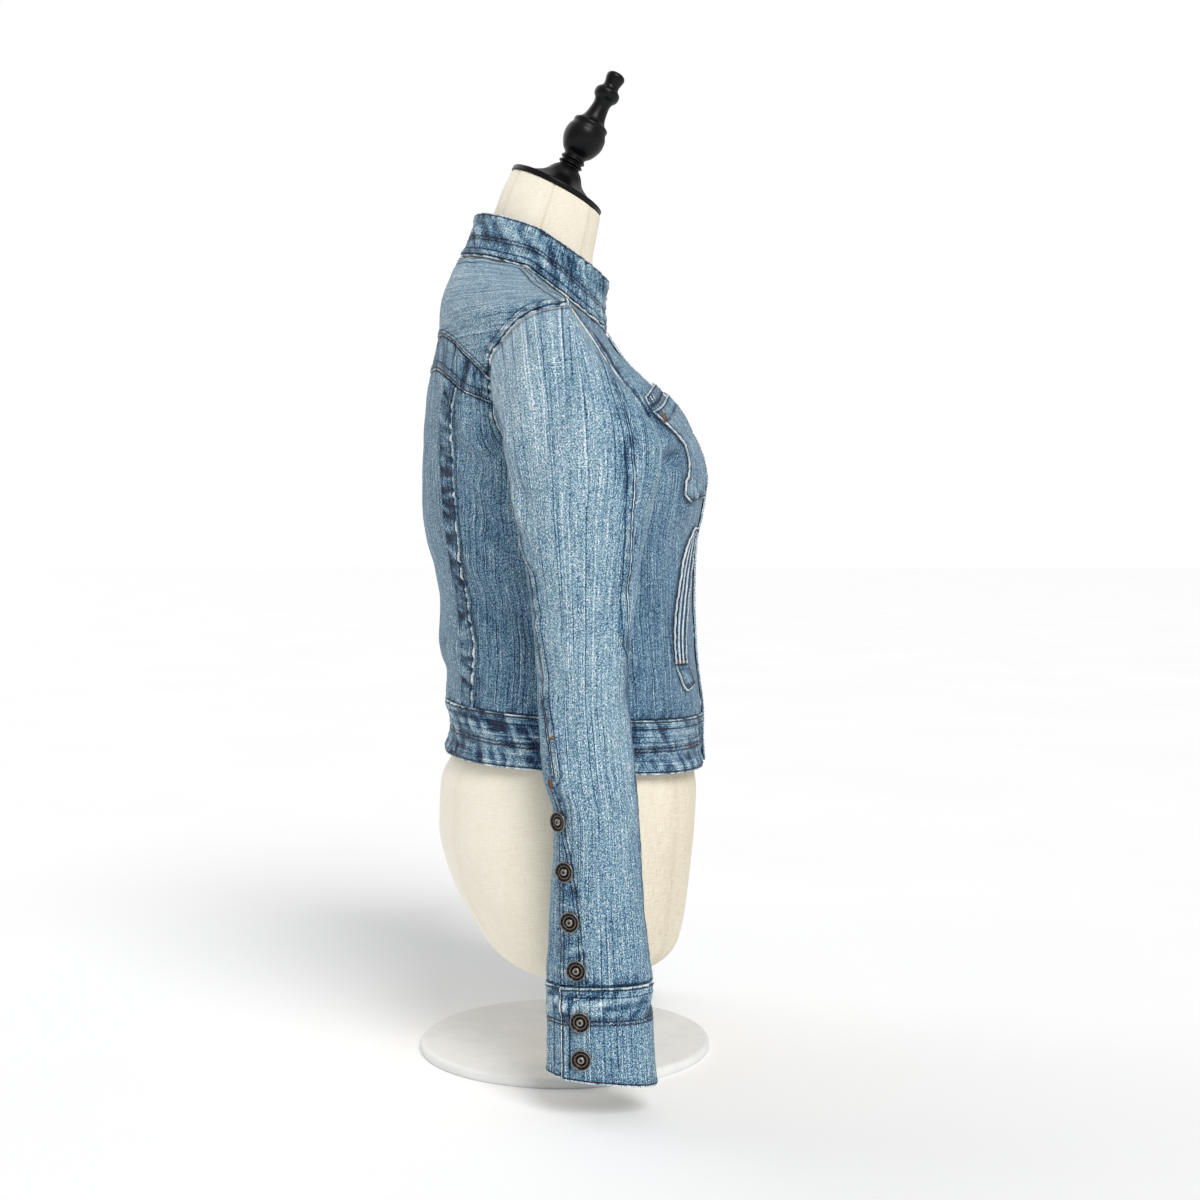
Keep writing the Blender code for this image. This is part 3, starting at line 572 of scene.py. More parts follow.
# Narrower creases that only the looks have, in the folds' own columns.
BODY_CREASES = [  # down, degrees, down, degrees, half_width, height
    (39, 121, 45, 113, 3.5, -1.3),
    (43, 126, 55, 108, 4, -1.6),
    (48, 129, 53, 112, 3.5, 1.0),
    (55, 130, 64, 107, 4, -1.4),
    (62, 127, 71, 108, 4, 1.2),
    (66, 129, 73, 112, 3.5, -1.2),
    (77, 131, 82, 112, 4, -1.5),
    (81, 126, 84, 106, 4, 1.0),
    (90, 129, 92.5, 110, 3.5, -1.2),
    (60, 118, 78, 108, 6, -1.0),
    (50.5, 50, 47, 37, 3.5, -2.0),
    (47, 50, 43.5, 39, 4, 1.4),
    (40, 59, 47, 54, 5, -1.2),
    (54, 60, 66, 74, 5, -1.3),
    (70, 44, 84, 52, 6, -1.2),
    (64, 40, 77, 50, 6, 1.0),
    (86, 52, 89, 70, 5, -1.4),
    (80, 60, 83, 78, 5, 1.0),
    (30, 40, 36, 24, 8, -0.8),
    (22, 60, 30, 35, 9, 0.9),
    (12, 130, 20, 110, 9, -0.9),
    (10, 165, 16, 150, 10, 0.8),
    (44, 165, 58, 170, 7, -1.1),
    (62, 150, 74, 160, 8, -1.0),
    (82, 143, 86, 168, 5, -1.4),
    (90, 146, 92, 172, 5, 1.2),
]
SLEEVE_CREASES = [  # level, degrees, level, degrees, half_width, height
    (-82, -10, -20, 12, 9, -1.0),
    (-70, 38, 10, 40, 8, 0.8),
    (-30, 92, 34, 60, 5, -1.4),
    (26, 90, 66, 52, 5, 1.0),
    (60, 84, 88, 36, 5, -1.2),
    (100, 80, 124, 20, 5, -1.1),
    (128, 74, 146, 16, 5, 0.8),
    (150, 64, 160, 22, 4.5, -1.0),
    (176, 60, 196, 10, 5, -0.9),
    (60, -60, 96, -24, 6, -1.0),
    (122, -80, 150, -30, 6, 0.8),
    (180, -84, 204, -30, 5, -0.9),
    (250, -78, 276, -30, 5, -0.9),
    (330, -80, 346, -34, 5, -0.8),
    (378, -74, 392, -20, 5, 0.7),
    (40, 190, 84, 150, 6, -1.4),
    (90, 200, 124, 160, 6, 1.0),
    (170, 150, 196, 210, 6, -1.2),
    (280, 140, 300, 200, 6, -1.0),
    (340, 150, 356, 205, 6, -0.9),
    (0, 230, 60, 215, 7, -1.4),
]
RIPPLES = [  # wavelength, direction, phase, height
    (64, 20, 0.3, 0.34),
    (47, 75, 2.1, 0.26),
    (33, 130, 4.0, 0.2),
    (25, 48, 1.2, 0.14),
    (18, 105, 5.2, 0.1),
    (13, 160, 3.1, 0.06),
]
RIPPLE_SHARE = 0.8  # how much of them the cloth shows


def ripples(step, place, degrees, turn):
    """A soft unevenness of the cloth, all over."""
    down, around = place * step[0], degrees * step[1]
    height = np.zeros(np.broadcast(place, degrees).shape)
    for length, direction, phase, tall in RIPPLES:
        angle = np.radians(direction + turn)
        run = (down * np.cos(angle) + around * np.sin(angle)) * 2 * np.pi / length
        height = height + tall * np.sin(run + phase + 0.8 * np.sin(run * 0.37 + phase))
    return height


def body_relief(down, degrees):
    """Fine relief of the body's cloth, over the folds that body() has. The same on every piece."""
    lift = fold_height(BODY_CREASES, BODY_STEP, down, from_front(degrees))
    return lift + ripples(BODY_STEP, down, np.asarray(degrees, float), 0) * RIPPLE_SHARE


def sleeve_relief(level, degrees):
    turn = (degrees + 180) % 360 - 180
    lift = fold_height(SLEEVE_CREASES, SLEEVE_STEP, level, turn)
    lift = lift + fold_height(SLEEVE_CREASES, SLEEVE_STEP, level, turn + 360)
    fade = np.clip((level + CAP) / 25, 0, 1)
    return (lift + ripples(SLEEVE_STEP, level, np.asarray(turn, float), 40) * RIPPLE_SHARE) * fade


def no_relief(place, degrees):
    return np.zeros(np.broadcast(place, degrees).shape)


def cloudy(across, along, seed):
    """Smooth noise between -1 and 1, whose blots measure about one unit each way."""
    size = 97
    table = np.random.default_rng(int(seed * 10) + 7).uniform(-1, 1, (size, size))
    across, along = np.broadcast_arrays(np.asarray(across, float), np.asarray(along, float))
    i, j = np.floor(across).astype(int), np.floor(along).astype(int)
    s, t = across - i, along - j
    s, t = s * s * (3 - 2 * s), t * t * (3 - 2 * t)
    low = blend(table[i % size, j % size], table[(i + 1) % size, j % size], s)
    high = blend(table[i % size, (j + 1) % size], table[(i + 1) % size, (j + 1) % size], s)
    return blend(low, high, t)


def puckers(run, gap, pitch, seed, lean=0.4, long=2.2):
    """The puckers beside a seam: uneven bumps between about -1 and 1, longer away from the seam."""
    run = run + lean * gap + 2.5 * cloudy(run / 16, gap / 12, seed + 3)
    bumps = cloudy(run * 2 / pitch, gap / (pitch * long), seed)
    bumps = bumps + 0.55 * cloudy(run * 3.9 / pitch, gap / (pitch * long * 0.6), seed + 1)
    return np.clip(bumps * 1.25, -1, 1)


NO_ROW = -9.0  # stands for a row of stitches that an edge doesn't have
OUT_OF_REACH = 60.0  # further than the marks of any seam

# How a piece's edge is finished. Lengths in millimetres.
# over: it lies over its neighbour, with the seam allowance under it. under: it goes under.
FINISH = {  # worn rim with the painted shade beside it, painted shadow where it goes under, ridge, ridge_width, pucker, pitch, reach, row, row
    "over": (1.0, 0.0, 0.75, 8.0, 0.5, 8.0, 8.0, 2.0, 7.4),
    "over_calm": (1.0, 0.0, 0.6, 7.0, 0.28, 9.0, 7.0, 2.0, 7.4),
    "rope": (0.9, 0.0, 0.8, 8.5, 0.85, 8.5, 10.0, 2.0, NO_ROW),
    "brown": (0.35, 0.3, 0.6, 7.0, 0.3, 8.0, 8.0, 1.8, 4.8),
    "under": (0.0, 1.0, -0.45, 2.5, 0.5, 8.0, 8.0, NO_ROW, NO_ROW),
    "roped": (0.9, 0.0, 0.9, 8.5, 1.35, 6.5, 10.5, 2.4, 7.6),
    "under_calm": (0.0, 0.8, -0.3, 2.5, 0.25, 9.0, 7.0, NO_ROW, NO_ROW),
    "turned": (0.9, 0.0, 0.35, 4.0, 0.35, 6.0, 5.0, 2.2, NO_ROW),
    "plain": (0.5, 0.0, 0.3, 3.0, 0.2, 6.0, 5.0, NO_ROW, NO_ROW),
}


def arc(points):
    """Lengths along a line of points, from its first."""
    steps = np.linalg.norm(np.diff(points, axis=0), axis=-1)
    return np.concatenate([[0.0], np.cumsum(steps)])


def resampled(points, pitch):
    """The same line with points this far apart."""
    run = arc(points)
    count = max(2, int(round(run[-1] / pitch)) + 1)
    at = np.linspace(0, run[-1], count)
    return np.stack([np.interp(at, run, points[:, k]) for k in range(3)], axis=-1)


def to_line(points, line):
    """For each point, its distance to a line and how far along the line that is."""
    at_once = 4000
    line = resampled(line, 1.5)
    run = arc(line)
    start, way = line[:-1], np.diff(line, axis=0)
    long = np.maximum((way**2).sum(axis=-1), 1e-9)
    flat = points.reshape(-1, 3)
    nearest = np.empty(len(flat))
    along = np.empty(len(flat))
    coarse = line.astype(np.float32)
    for first in range(0, len(flat), at_once):
        part = flat[first : first + at_once]
        close = ((part[:, None, :].astype(np.float32) - coarse) ** 2).sum(axis=-1).argmin(axis=1)
        best = np.full(len(part), np.inf)
        place = np.zeros(len(part))
        for shift in (-1, 0):
            k = np.clip(close + shift, 0, len(start) - 1)
            share = np.clip(((part - start[k]) * way[k]).sum(axis=-1) / long[k], 0, 1)
            far = np.linalg.norm(part - start[k] - way[k] * share[:, None], axis=-1)
            better = far < best
            best = np.where(better, far, best)
            place = np.where(better, run[k] + share * np.sqrt(long[k]), place)
        nearest[first : first + at_once] = best
        along[first : first + at_once] = place
    return nearest.reshape(points.shape[:2]), along.reshape(points.shape[:2])


def edge_line(points, side):
    return {"t": points[0], "b": points[-1], "l": points[:, 0], "r": points[:, -1]}[side]


class Cloth:
    """One cloth piece: its grid of places on a surface, the relief on it, its worn marks and the painted
    shade on it.
    """

    def __init__(self, surface, relief, step, place, degrees, lift=0.0, seed=1.0):
        self.surface, self.step = surface, step
        place, degrees = np.asarray(place, float), np.asarray(degrees, float)
        self.place, self.degrees = np.broadcast_arrays(place, degrees)
        self.rise = relief(self.place, self.degrees)
        self.lift = np.broadcast_to(np.asarray(lift, float), self.place.shape) + self.rise
        self.base = surface(self.place, self.degrees, self.lift)
        self.seed = seed
        self.height, self.worn, self.dark, self.tone = (np.zeros(self.place.shape) for _ in range(4))
        self.gap = np.full(self.place.shape, OUT_OF_REACH)
        self.marks = np.zeros((*self.place.shape, 4))
        self.marks[..., 2:] = NO_ROW
        self.middle = np.full(self.place.shape, OUT_OF_REACH)
        self.near = {}

    def to_edge(self, side):
        if side not in self.near:
            self.near[side] = to_line(self.base, edge_line(self.base, side))
        return self.near[side]

    def finish(self, sides, kind, strength=1.0, lean=0.4):
        """Finishes edges: their worn rims, ridges and puckers, which lean along the seam, with painted shade
        beside the ridges and where a piece goes under.
        """
        for side in sides:
            self.beside(*self.to_edge(side), kind, strength, lean, ord(side))

    def seam(self, line, kind, strength=1.0, mark=0):
        """Finishes the cloth beside a line. Gives each point's distance to it and place along it."""
        gap, run = to_line(self.base, line)
        self.beside(gap, run, kind, strength, 0.4, mark)
        return gap, run

    def beside(self, gap, run, kind, strength, lean, mark):
        worn, under, ridge, width, pucker, pitch, reach, first, second = FINISH[kind]
        seed = self.seed * 1.7 + mark * 0.37
        bumps = puckers(run, gap, pitch, seed, lean)
        fade = np.exp(-((gap / reach) ** 2) * 1.3)
        inside = 1 / (1 + np.exp((gap - width) / 0.7))
        self.height += strength * ridge * inside * (1 - hump(gap, 0, 0.9))
        self.height += strength * pucker * bumps * fade
        # Pucker crests are painted paler and their troughs darker: worn fading and painted light and shade
        # both.
        self.worn += strength * pucker * 0.8 * np.clip(bumps - 0.1, 0, 1) * fade
        self.dark += strength * pucker * 1.1 * np.clip(0.1 - bumps, 0, 1) * fade
        # A thin line at the ridge's foot is painted dark, as its shade.
        if ridge > 0:
            self.dark += 0.25 * strength * hump(gap - width, 0.5, 1.2)
        closer = gap < self.gap
        self.gap = np.where(closer, gap, self.gap)
        self.marks[closer] = (worn * min(strength, 1.2), under * min(strength, 1.0), first, second)

    def band(self, signed):
        """Marks the middle of a double row of stitches, by each point's distance to it. The cloth sinks
        there and is painted darker, as the shade in that hollow.
        """
        self.middle = signed
        self.height -= 0.45 * hump(signed, 0, 2.6)
        self.dark += 0.16 * hump(signed, 0, 3.2)

    def rumple(self, gap, run, tall, pitch=8.0, long=1.6, lean=0.3, fade=1.0, mark=0.0):
        """Uneven small folds over a whole narrow piece, paler on their crests and darker in their troughs:
        worn fading and painted light and shade both.
        """
        bumps = puckers(run, gap, pitch, self.seed * 2.3 + mark, lean, long) * fade
        self.height += tall * bumps
        self.worn += 0.62 * tall * np.clip(bumps, 0, 1)
        self.dark += 0.85 * tall * np.clip(-bumps, 0, 1)

    def points(self, extra=0.0):
        return self.surface(self.place, self.degrees, self.lift + self.height + extra)


MADE = {}  # every cloth piece's outer face, for what is sewn on it: node -> (points, normals, tree)


def grid_faces(rows, columns, shift=0, flip=False):
    index = np.arange(rows * columns).reshape(rows, columns) + shift
    corners = [index[:-1, :-1], index[:-1, 1:], index[1:, 1:], index[1:, :-1]]
    faces = np.stack(corners, axis=-1).reshape(-1, 4)
    return faces[:, ::-1] if flip else faces


def rim_of(rows, columns):
    index = np.arange(rows * columns).reshape(rows, columns)
    return np.concatenate([index[0, :], index[1:, -1], index[-1, -2::-1], index[-2:0:-1, 0]])


def facing_out(points, faces):
    """A closed mesh's faces, turned to look outwards."""
    a, b, c, d = (points[faces[:, k]] for k in range(4))
    inwards = (np.cross(b - a, c - a) * a).sum() + (np.cross(c - a, d - a) * a).sum() < 0
    return faces[:, ::-1] if inwards else faces


def mesh_object(name, points, faces, materials, slots=None):
    """A smooth object of quads, whose points are in millimetres."""
    mesh = bpy.data.meshes.new(name)
    mesh.vertices.add(len(points))
    mesh.vertices.foreach_set("co", (points * MM).astype(np.float32).ravel())
    mesh.loops.add(faces.size)
    mesh.loops.foreach_set("vertex_index", faces.astype(np.int32).ravel())
    mesh.polygons.add(len(faces))
    mesh.polygons.foreach_set("loop_start", np.arange(0, faces.size, 4, dtype=np.int32))
    mesh.update(calc_edges=True)
    mesh.polygons.foreach_set("use_smooth", np.full(len(faces), True))
    for made in materials:
        mesh.materials.append(made)
    if slots is not None:
        mesh.polygons.foreach_set("material_index", slots.astype(np.int32))
    mesh.validate()
    made = bpy.data.objects.new(name, mesh)
    bpy.context.scene.collection.objects.link(made)
    return made


def give(piece, name, *values, faces=1):
    """Stores three values for each point of a piece, the same on each of its faces, for its material."""
    flat = np.stack([np.broadcast_to(value, values[0].shape) for value in values], axis=-1).reshape(-1, 3)
    kept = piece.data.attributes.new(name, "FLOAT_VECTOR", "POINT")
    kept.data.foreach_set("vector", np.concatenate([flat] * faces).astype(np.float32).ravel())


def adopt(piece, slot, *nodes):
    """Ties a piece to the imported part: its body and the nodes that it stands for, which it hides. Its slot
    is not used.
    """
    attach(piece, BODY_NAME)
    if nodes:
        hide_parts(*nodes)
    return piece


def normals_of(points):
    """Normals of a grid of points."""
    down = np.gradient(points, axis=0)
    across = np.gradient(points, axis=1)
    return unit(np.cross(down, across))


def sew(piece, node, tone, thick, turned=False, mirror=False):
    """Makes a cloth piece's shell. Its attributes hold its threads, its worn marks with the painted light
    and shade on it, and its seams.
    """
    # Crests of the relief are painted paler and its troughs darker, as painted light and shade, over the
    # marks that the piece already has.
    relief = np.clip((piece.rise + piece.height) * 0.08, -0.3, 0.3)
    worn = np.clip(piece.worn + np.maximum(relief, 0) * 0.7, 0, 1.3)
    dark = np.clip(piece.dark + np.maximum(-relief, 0) * 1.6, 0, 1.7)
    side = np.array([-1 if mirror else 1, 1, 1])
    outer = inset(piece.points(), SEAM / 2) * side
    inner = inset(piece.points(-thick), SEAM / 2) * side
    rows, columns = outer.shape[:2]
    count = rows * columns
    points = np.concatenate([outer.reshape(-1, 3), inner.reshape(-1, 3)])
    rim = rim_of(rows, columns)
    after = np.roll(rim, -1)
    edge = np.stack([after, rim, rim + count, after + count], axis=-1)
    faces = np.concatenate([grid_faces(rows, columns), grid_faces(rows, columns, count, True), edge])
    flat_count = (rows - 1) * (columns - 1)
    slots = np.concatenate([np.zeros(flat_count), np.ones(flat_count), np.zeros(len(edge))])
    cloths = [material("denim_outside"), material("denim_wrong_side")]
    made = mesh_object("cloth_" + node, points, facing_out(points, faces), cloths, slots)
    across = piece.degrees * piece.step[1]
    if piece.surface is body:
        across = way_around(piece.place, piece.degrees)
        across = across - across[:, columns // 2, None]
    u, v = across + piece.seed * 370, piece.place * piece.step[0] + piece.seed * 190
    if turned:
        u, v = v, u
    edge_wear_and_shade, edge_under_shadow, first_row, second_row = np.moveaxis(piece.marks, -1, 0)
    give(made, "weave", u, v, piece.seed * 11.0, faces=2)
    tone = tone + PALER.get(node.removesuffix("_r").removesuffix("_l"), 0.0)
    # Paleness, darkness and tone of each point: worn marks, painted light on crests, and painted shade in
    # troughs, slits and seams.
    give(made, "finish", worn, dark, tone + piece.tone, faces=2)
    give(made, "seam", piece.gap, edge_wear_and_shade, edge_under_shadow, faces=2)
    give(made, "rows", first_row, second_row, piece.middle, faces=2)
    sharpen(made.data, count, rim)
    adopt(made, "denim", node)
    normals = normals_of(outer)
    ways = outer - inner
    normals = np.where(np.sum(normals * ways, axis=-1, keepdims=True) < 0, -normals, normals)
    MADE[node] = (outer, normals, tree_of(outer))


def sharpen(mesh, count, rim):
    """Keeps the rim of a shell from being shaded as if it were round."""
    on_rim = np.zeros(2 * count, bool)
    on_rim[rim] = True
    on_rim[rim + count] = True
    ends = np.empty(len(mesh.edges) * 2, np.int32)
    mesh.edges.foreach_get("vertices", ends)
    ends = ends.reshape(-1, 2)
    same = (ends[:, 0] < count) == (ends[:, 1] < count)
    sharp = on_rim[ends[:, 0]] & on_rim[ends[:, 1]] & same
    kept = mesh.attributes.new("sharp_edge", "BOOLEAN", "EDGE")
    kept.data.foreach_set("value", sharp)


def tree_of(points):
    """A grid of points as a tree, to find the place on it that is nearest to a point."""
    faces = grid_faces(*points.shape[:2])
    return BVHTree.FromPolygons(points.reshape(-1, 3).tolist(), faces.tolist())


def sew_pair(make, node, tone, thick):
    """The wearer's right piece and its mirror image. make(seed) gives the piece."""
    for side, seed, mirror in (("r", 1.0, False), ("l", 2.0, True)):
        sew(make(seed), f"{node}_{side}", tone, thick, mirror=mirror)




EDGE_STEPS = (0.7, 1.6, 2.8, 4.4, 6.4, 8.6)  # where the grid is finer, beside a piece's edges
COLLAR_STEP = (37.0, 1.06)  # millimetres in one place and in one degree of the collar
PALER = {  # how much paler than its setting a piece is
    "back_band": -0.05, "back_strip": -0.04, "chest_pocket": 0.03, "pocket_band": 0.06, "welt_pocket": 0.2,
    "pocket_tab": 0.06, "under_sleeve": 0.1, "vent_placket": -0.1, "cuff": -0.035,
}


def spread(length, pitch, first=True, last=True):
    """Shares of a length: even steps of about one pitch, with finer ones beside its ends."""
    low = np.array(EDGE_STEPS if first else ())
    high = length - np.array(EDGE_STEPS if last else ())
    start, end = low[-1] if first else 0.0, length - EDGE_STEPS[-1] if last else length
    middle = np.linspace(start, end, max(3, int(round((end - start) / pitch)) + 1))
    return np.unique(np.concatenate([[0.0], low, middle, high, [length]])) / length


def between(first, last, pitch, step=1.0, fine_first=True, fine_last=True):
    """Levels from one to another. A level measures one step in millimetres."""
    return first + (last - first) * spread((last - first) * step, pitch, fine_first, fine_last)


# Where the body's rows lie: from the neck to the shoulder's tip, round the armhole, and below it.
NECK_ROW, LOW_ROW, ALL_ROW = 5.5, 4.4, 4.6  # millimetres in one row: above, below and on the whole


def neck_rows(pitch):
    return between(0, ARM_MIDDLE - ARM_HALF, pitch, NECK_ROW, True, False)[:-1]


def arm_rows(count, first=0, last=180):
    turn = np.radians(np.linspace(first, last, count, endpoint=False))
    return ARM_MIDDLE - ARM_HALF * np.cos(turn)


def low_rows(pitch):
    return between(ARM_MIDDLE + ARM_HALF, HEM_SEAM, pitch, LOW_ROW, False, True)


def shares(levels):
    """Levels as shares of the way from the first to the last."""
    levels = np.asarray(levels, float)
    return (levels - levels[0]) / (levels[-1] - levels[0])


def on_body(down, degrees, **settings):
    """A cloth piece on the body."""
    return Cloth(body, body_relief, BODY_STEP, down, degrees, **settings)


def on_sleeve(level, degrees, **settings):
    """A cloth piece on the sleeve."""
    return Cloth(sleeve, sleeve_relief, SLEEVE_STEP, level, degrees, **settings)


def shade_along(piece, rows):
    """A painted shadow on the cloth beside what lies on it, along both ends of its table's rows."""
    for first in (0, 2):
        places = np.array(rows, float)[:, first : first + 2]
        gap = to_line(piece.base, resampled(body(places[:, 0], places[:, 1], LAID), 3.0))[0]
        piece.dark += 0.75 * hump(gap, 0, 2.4)


def front_piece(seed):
    neck, arm, low = neck_rows(3.0), arm_rows(60), low_rows(2.5)
    levels = np.concatenate([neck, arm, low])
    sides = level_line(CENTRE), front_side
    grid = panel_grid(shares(levels), spread(170, 2.4), level_line(0), level_line(HEM_SEAM), *sides)
    piece = on_body(*grid, seed=seed)
    edge = piece.base[:, -1]
    tip, under = len(neck), len(neck) + len(arm)
    piece.seam(edge[: tip + 1], "under_calm", mark=3)
    gap, run = piece.seam(edge[tip : under + 1], "over", mark=5, strength=0.95)
    gap = gap - 0.185 * np.clip(run - 55, 0, 80)  # the pale edge draws away from the seam lower down
    piece.worn += 1.2 * hump(gap, 1.4, 2.2, 4)
    piece.dark += 1.1 * hump(gap, 5.2, 1.5)
    roped = hump(gap, 7, 4) * hump(run, 88, 36, 4)
    spots = cloudy(run / 2.6, gap / 7, seed + 9)
    piece.dark += 1.3 * roped * np.clip(spots, 0, 1)
    piece.worn += 1.1 * roped * np.clip(-spots, 0, 1)
    piece.seam(edge[under:], "under_calm", mark=7)
    shade_along(piece, CHEST_POCKET)
    shade_along(piece, WELT)
    piece.finish("t", "under_calm")
    piece.finish("b", "under")
    bust = body(np.array([62.0, 52.0, 44.0, 37.0]), np.array([33.0, 38.0, 40.0, 50.0]))
    piece.dark += 0.22 * hump(to_line(piece.base, bust)[0], 0, 11)
    piece.tone = 0.035 - 0.1 * np.clip((piece.place - 45) / 30, 0, 1)
    return piece


def yoke_piece(seed):
    neck = neck_rows(3.0)
    levels = np.concatenate([neck, arm_rows(34, 0, 90), [ARM_MIDDLE]])
    sides = back_side, mirrored(back_side)
    grid = panel_grid(shares(levels), spread(400, 2.6), level_line(0), yoke_seam, *sides)
    piece = on_body(*grid, seed=seed)
    for column in (0, -1):
        edge = piece.base[:, column]
        piece.seam(edge[: len(neck) + 1], "over_calm", mark=3 + column)
        piece.seam(edge[len(neck) :], "roped", mark=8 + column)
    piece.finish("t", "over_calm")
    piece.finish("b", "brown")
    return piece


def band_piece(seed):
    sides = back_side, mirrored(back_side)
    grid = panel_grid(spread(27, 2.0), spread(430, 2.3), under_yoke, band_seam, *sides)
    piece = on_body(*grid, seed=seed)
    gap, run = piece.to_edge("t")
    side = np.minimum(piece.to_edge("l")[0], piece.to_edge("r")[0])
    piece.rumple(gap, run, 1.5, 10.0, 4.0, 0.25, 0.25 + 0.75 * hump(side, 0, 46))
    piece.dark += 0.1
    piece.finish("t", "under")
    piece.finish("b", "over_calm")
    piece.finish("lr", "roped")
    return piece


def low_back(pitch):
    """Levels of the pieces below the back band."""
    first = between(BAND_SEAM[0][1], 44.5, 2.2, LOW_ROW, True, False)
    return np.unique(np.concatenate([first, arm_rows(100)[64:], low_rows(pitch)]))


def side_piece(seed):
    levels = low_back(2.5)
    sides = back_side, back_seam
    grid = panel_grid(shares(levels), spread(105, 2.3), under_band, level_line(HEM_SEAM), *sides)
    piece = on_body(*grid, seed=seed)
    arm = int(np.searchsorted(levels, ARM_MIDDLE + ARM_HALF))
    edge = piece.base[:, 0]
    piece.seam(edge[: arm + 1], "over", mark=3)
    piece.seam(edge[arm:], "under_calm", mark=4)
    piece.finish("t", "under", strength=0.9)
    piece.finish("r", "under_calm", strength=0.7)
    piece.finish("b", "under", strength=0.9)
    # Paler towards the top: painted light that evens out the shade which the sleeve casts there.
    piece.tone = 0.1 * np.clip((80 - piece.place) / 35, 0, 1)
    return piece


def centre_piece(seed):
    sides = back_seam, mirrored(back_seam)
    grid = panel_grid(shares(low_back(2.8)), spread(230, 2.8), under_band, level_line(HEM_SEAM), *sides)
    piece = on_body(*grid, seed=seed)
    piece.finish("tb", "under")
    return piece


def strip_piece(seed):
    share = STRIP_DEGREES / (360 - 2 * float(back_seam(np.array(70.0))))
    sides = back_seam, lambda down: blend(back_seam(down), 360 - back_seam(down), share)
    grid = panel_grid(spread(270, 1.5), spread(21, 1.6), under_band, level_line(HEM_SEAM), *sides)
    piece = on_body(*grid, lift=OVER + FACE, seed=seed)
    gap, run = piece.to_edge("l")
    piece.rumple(gap, run, 1.05, 8.5, 2.6, 0.3)
    piece.finish("l", "over", strength=0.9)
    piece.finish("r", "plain", strength=0.6)
    return piece


def hem_piece(seed):
    around = CENTRE + (360 - 2 * CENTRE) * spread(850, 2.1)[None, :]
    down = between(HEM_SEAM, HEM, 2.0, LOW_ROW)[:, None]
    piece = on_body(down, around, seed=seed)
    gap, run = piece.to_edge("t")
    piece.rumple(gap, run, 0.95, 11.0, 1.1, 0.6)
    piece.rumple(run / 3, gap, 0.55, 9.0, 1.6, 0.1, 1.0, 4.0)
    piece.tone = -0.05 * np.clip((80 - from_front(piece.degrees)) / 20, 0, 1)
    piece.finish("t", "over", strength=0.9)
    piece.finish("b", "rope", strength=0.9, lean=0.1)
    piece.band(gap - HEM_ROWS)
    return piece


def placket_piece(seed):
    down = between(1, HEM - 0.6, 2.6, ALL_ROW)[:, None]
    across = (spread(2 * PLACKET_HALF, 2.2)[None, :] * 2 - 1) * PLACKET_HALF
    piece = on_body(down, angle_at(down, across), lift=OVER + FACE, seed=seed)
    piece.finish("lr", "turned")
    piece.finish("b", "plain")
    return piece


def laid_piece(rows, down_shares, across_shares, seed):
    """A piece laid on the front, smooth between its table's lines."""
    table = Table([(number, *row) for number, row in enumerate(rows)])
    outer_down, outer_degrees, inner_down, inner_degrees = table(down_shares * (len(rows) - 1))[:, :, None]
    u = across_shares[None, :]
    down, degrees = blend(outer_down, inner_down, u), blend(outer_degrees, inner_degrees, u)
    return on_body(down, degrees, lift=OVER + FACE, seed=seed)


def pocket_piece(seed):
    piece = laid_piece(CHEST_POCKET, spread(112, 2.0), spread(62, 1.9), seed)
    piece.finish("l", "turned", strength=1.3)
    piece.finish("b", "rope", strength=0.8)
    gap, run = piece.to_edge("b")
    piece.rumple(gap, run, 0.9, 7.0, 1.6, 0.3, hump(gap, 0, 17))
    piece.finish("rt", "turned")
    gap, run = piece.to_edge("t")
    # The pocket's mouth is sunk a little and painted dark, as the shade inside it.
    slot = hump(gap, 12.6, 1.1)
    piece.height -= 0.5 * slot
    piece.dark += 1.3 * slot
    piece.worn += 1.1 * hump(gap, 14.6, 0.9) * (run < 30)
    piece.tone = 0.03 - 0.04 * np.clip((piece.place - 45) / 10, 0, 1)
    return piece


def band_on_pocket(seed):
    piece = laid_piece(POCKET_BAND, spread(15, 1.4), spread(95, 0.9), seed)
    gap = piece.to_edge("l")[0]
    first, last, pitch = 2.6, 22.6, 5.0
    within = (gap > first) * (gap < last)
    bars = (0.5 - 0.5 * np.cos(2 * np.pi * (gap - first) / pitch)) ** 2 * within
    inside = np.clip(piece.to_edge("t")[0] / 2 - 1.0, 0, 1) * np.clip(piece.to_edge("b")[0] / 3 - 0.6, 0, 1)
    piece.dark += 1.9 * bars * inside
    piece.worn += 0.8 * (within - bars) * inside
    piece.height -= 0.35 * bars * inside
    piece.finish("l", "turned", strength=1.3)
    piece.finish("t", "turned")
    foot = hump(piece.to_edge("b")[0], 0, 3.0, 4)
    piece.dark += 2.0 * foot
    piece.height -= 0.7 * foot
    return piece


WELT_RIDGES = 3.3  # lengthwise ridges across a welt


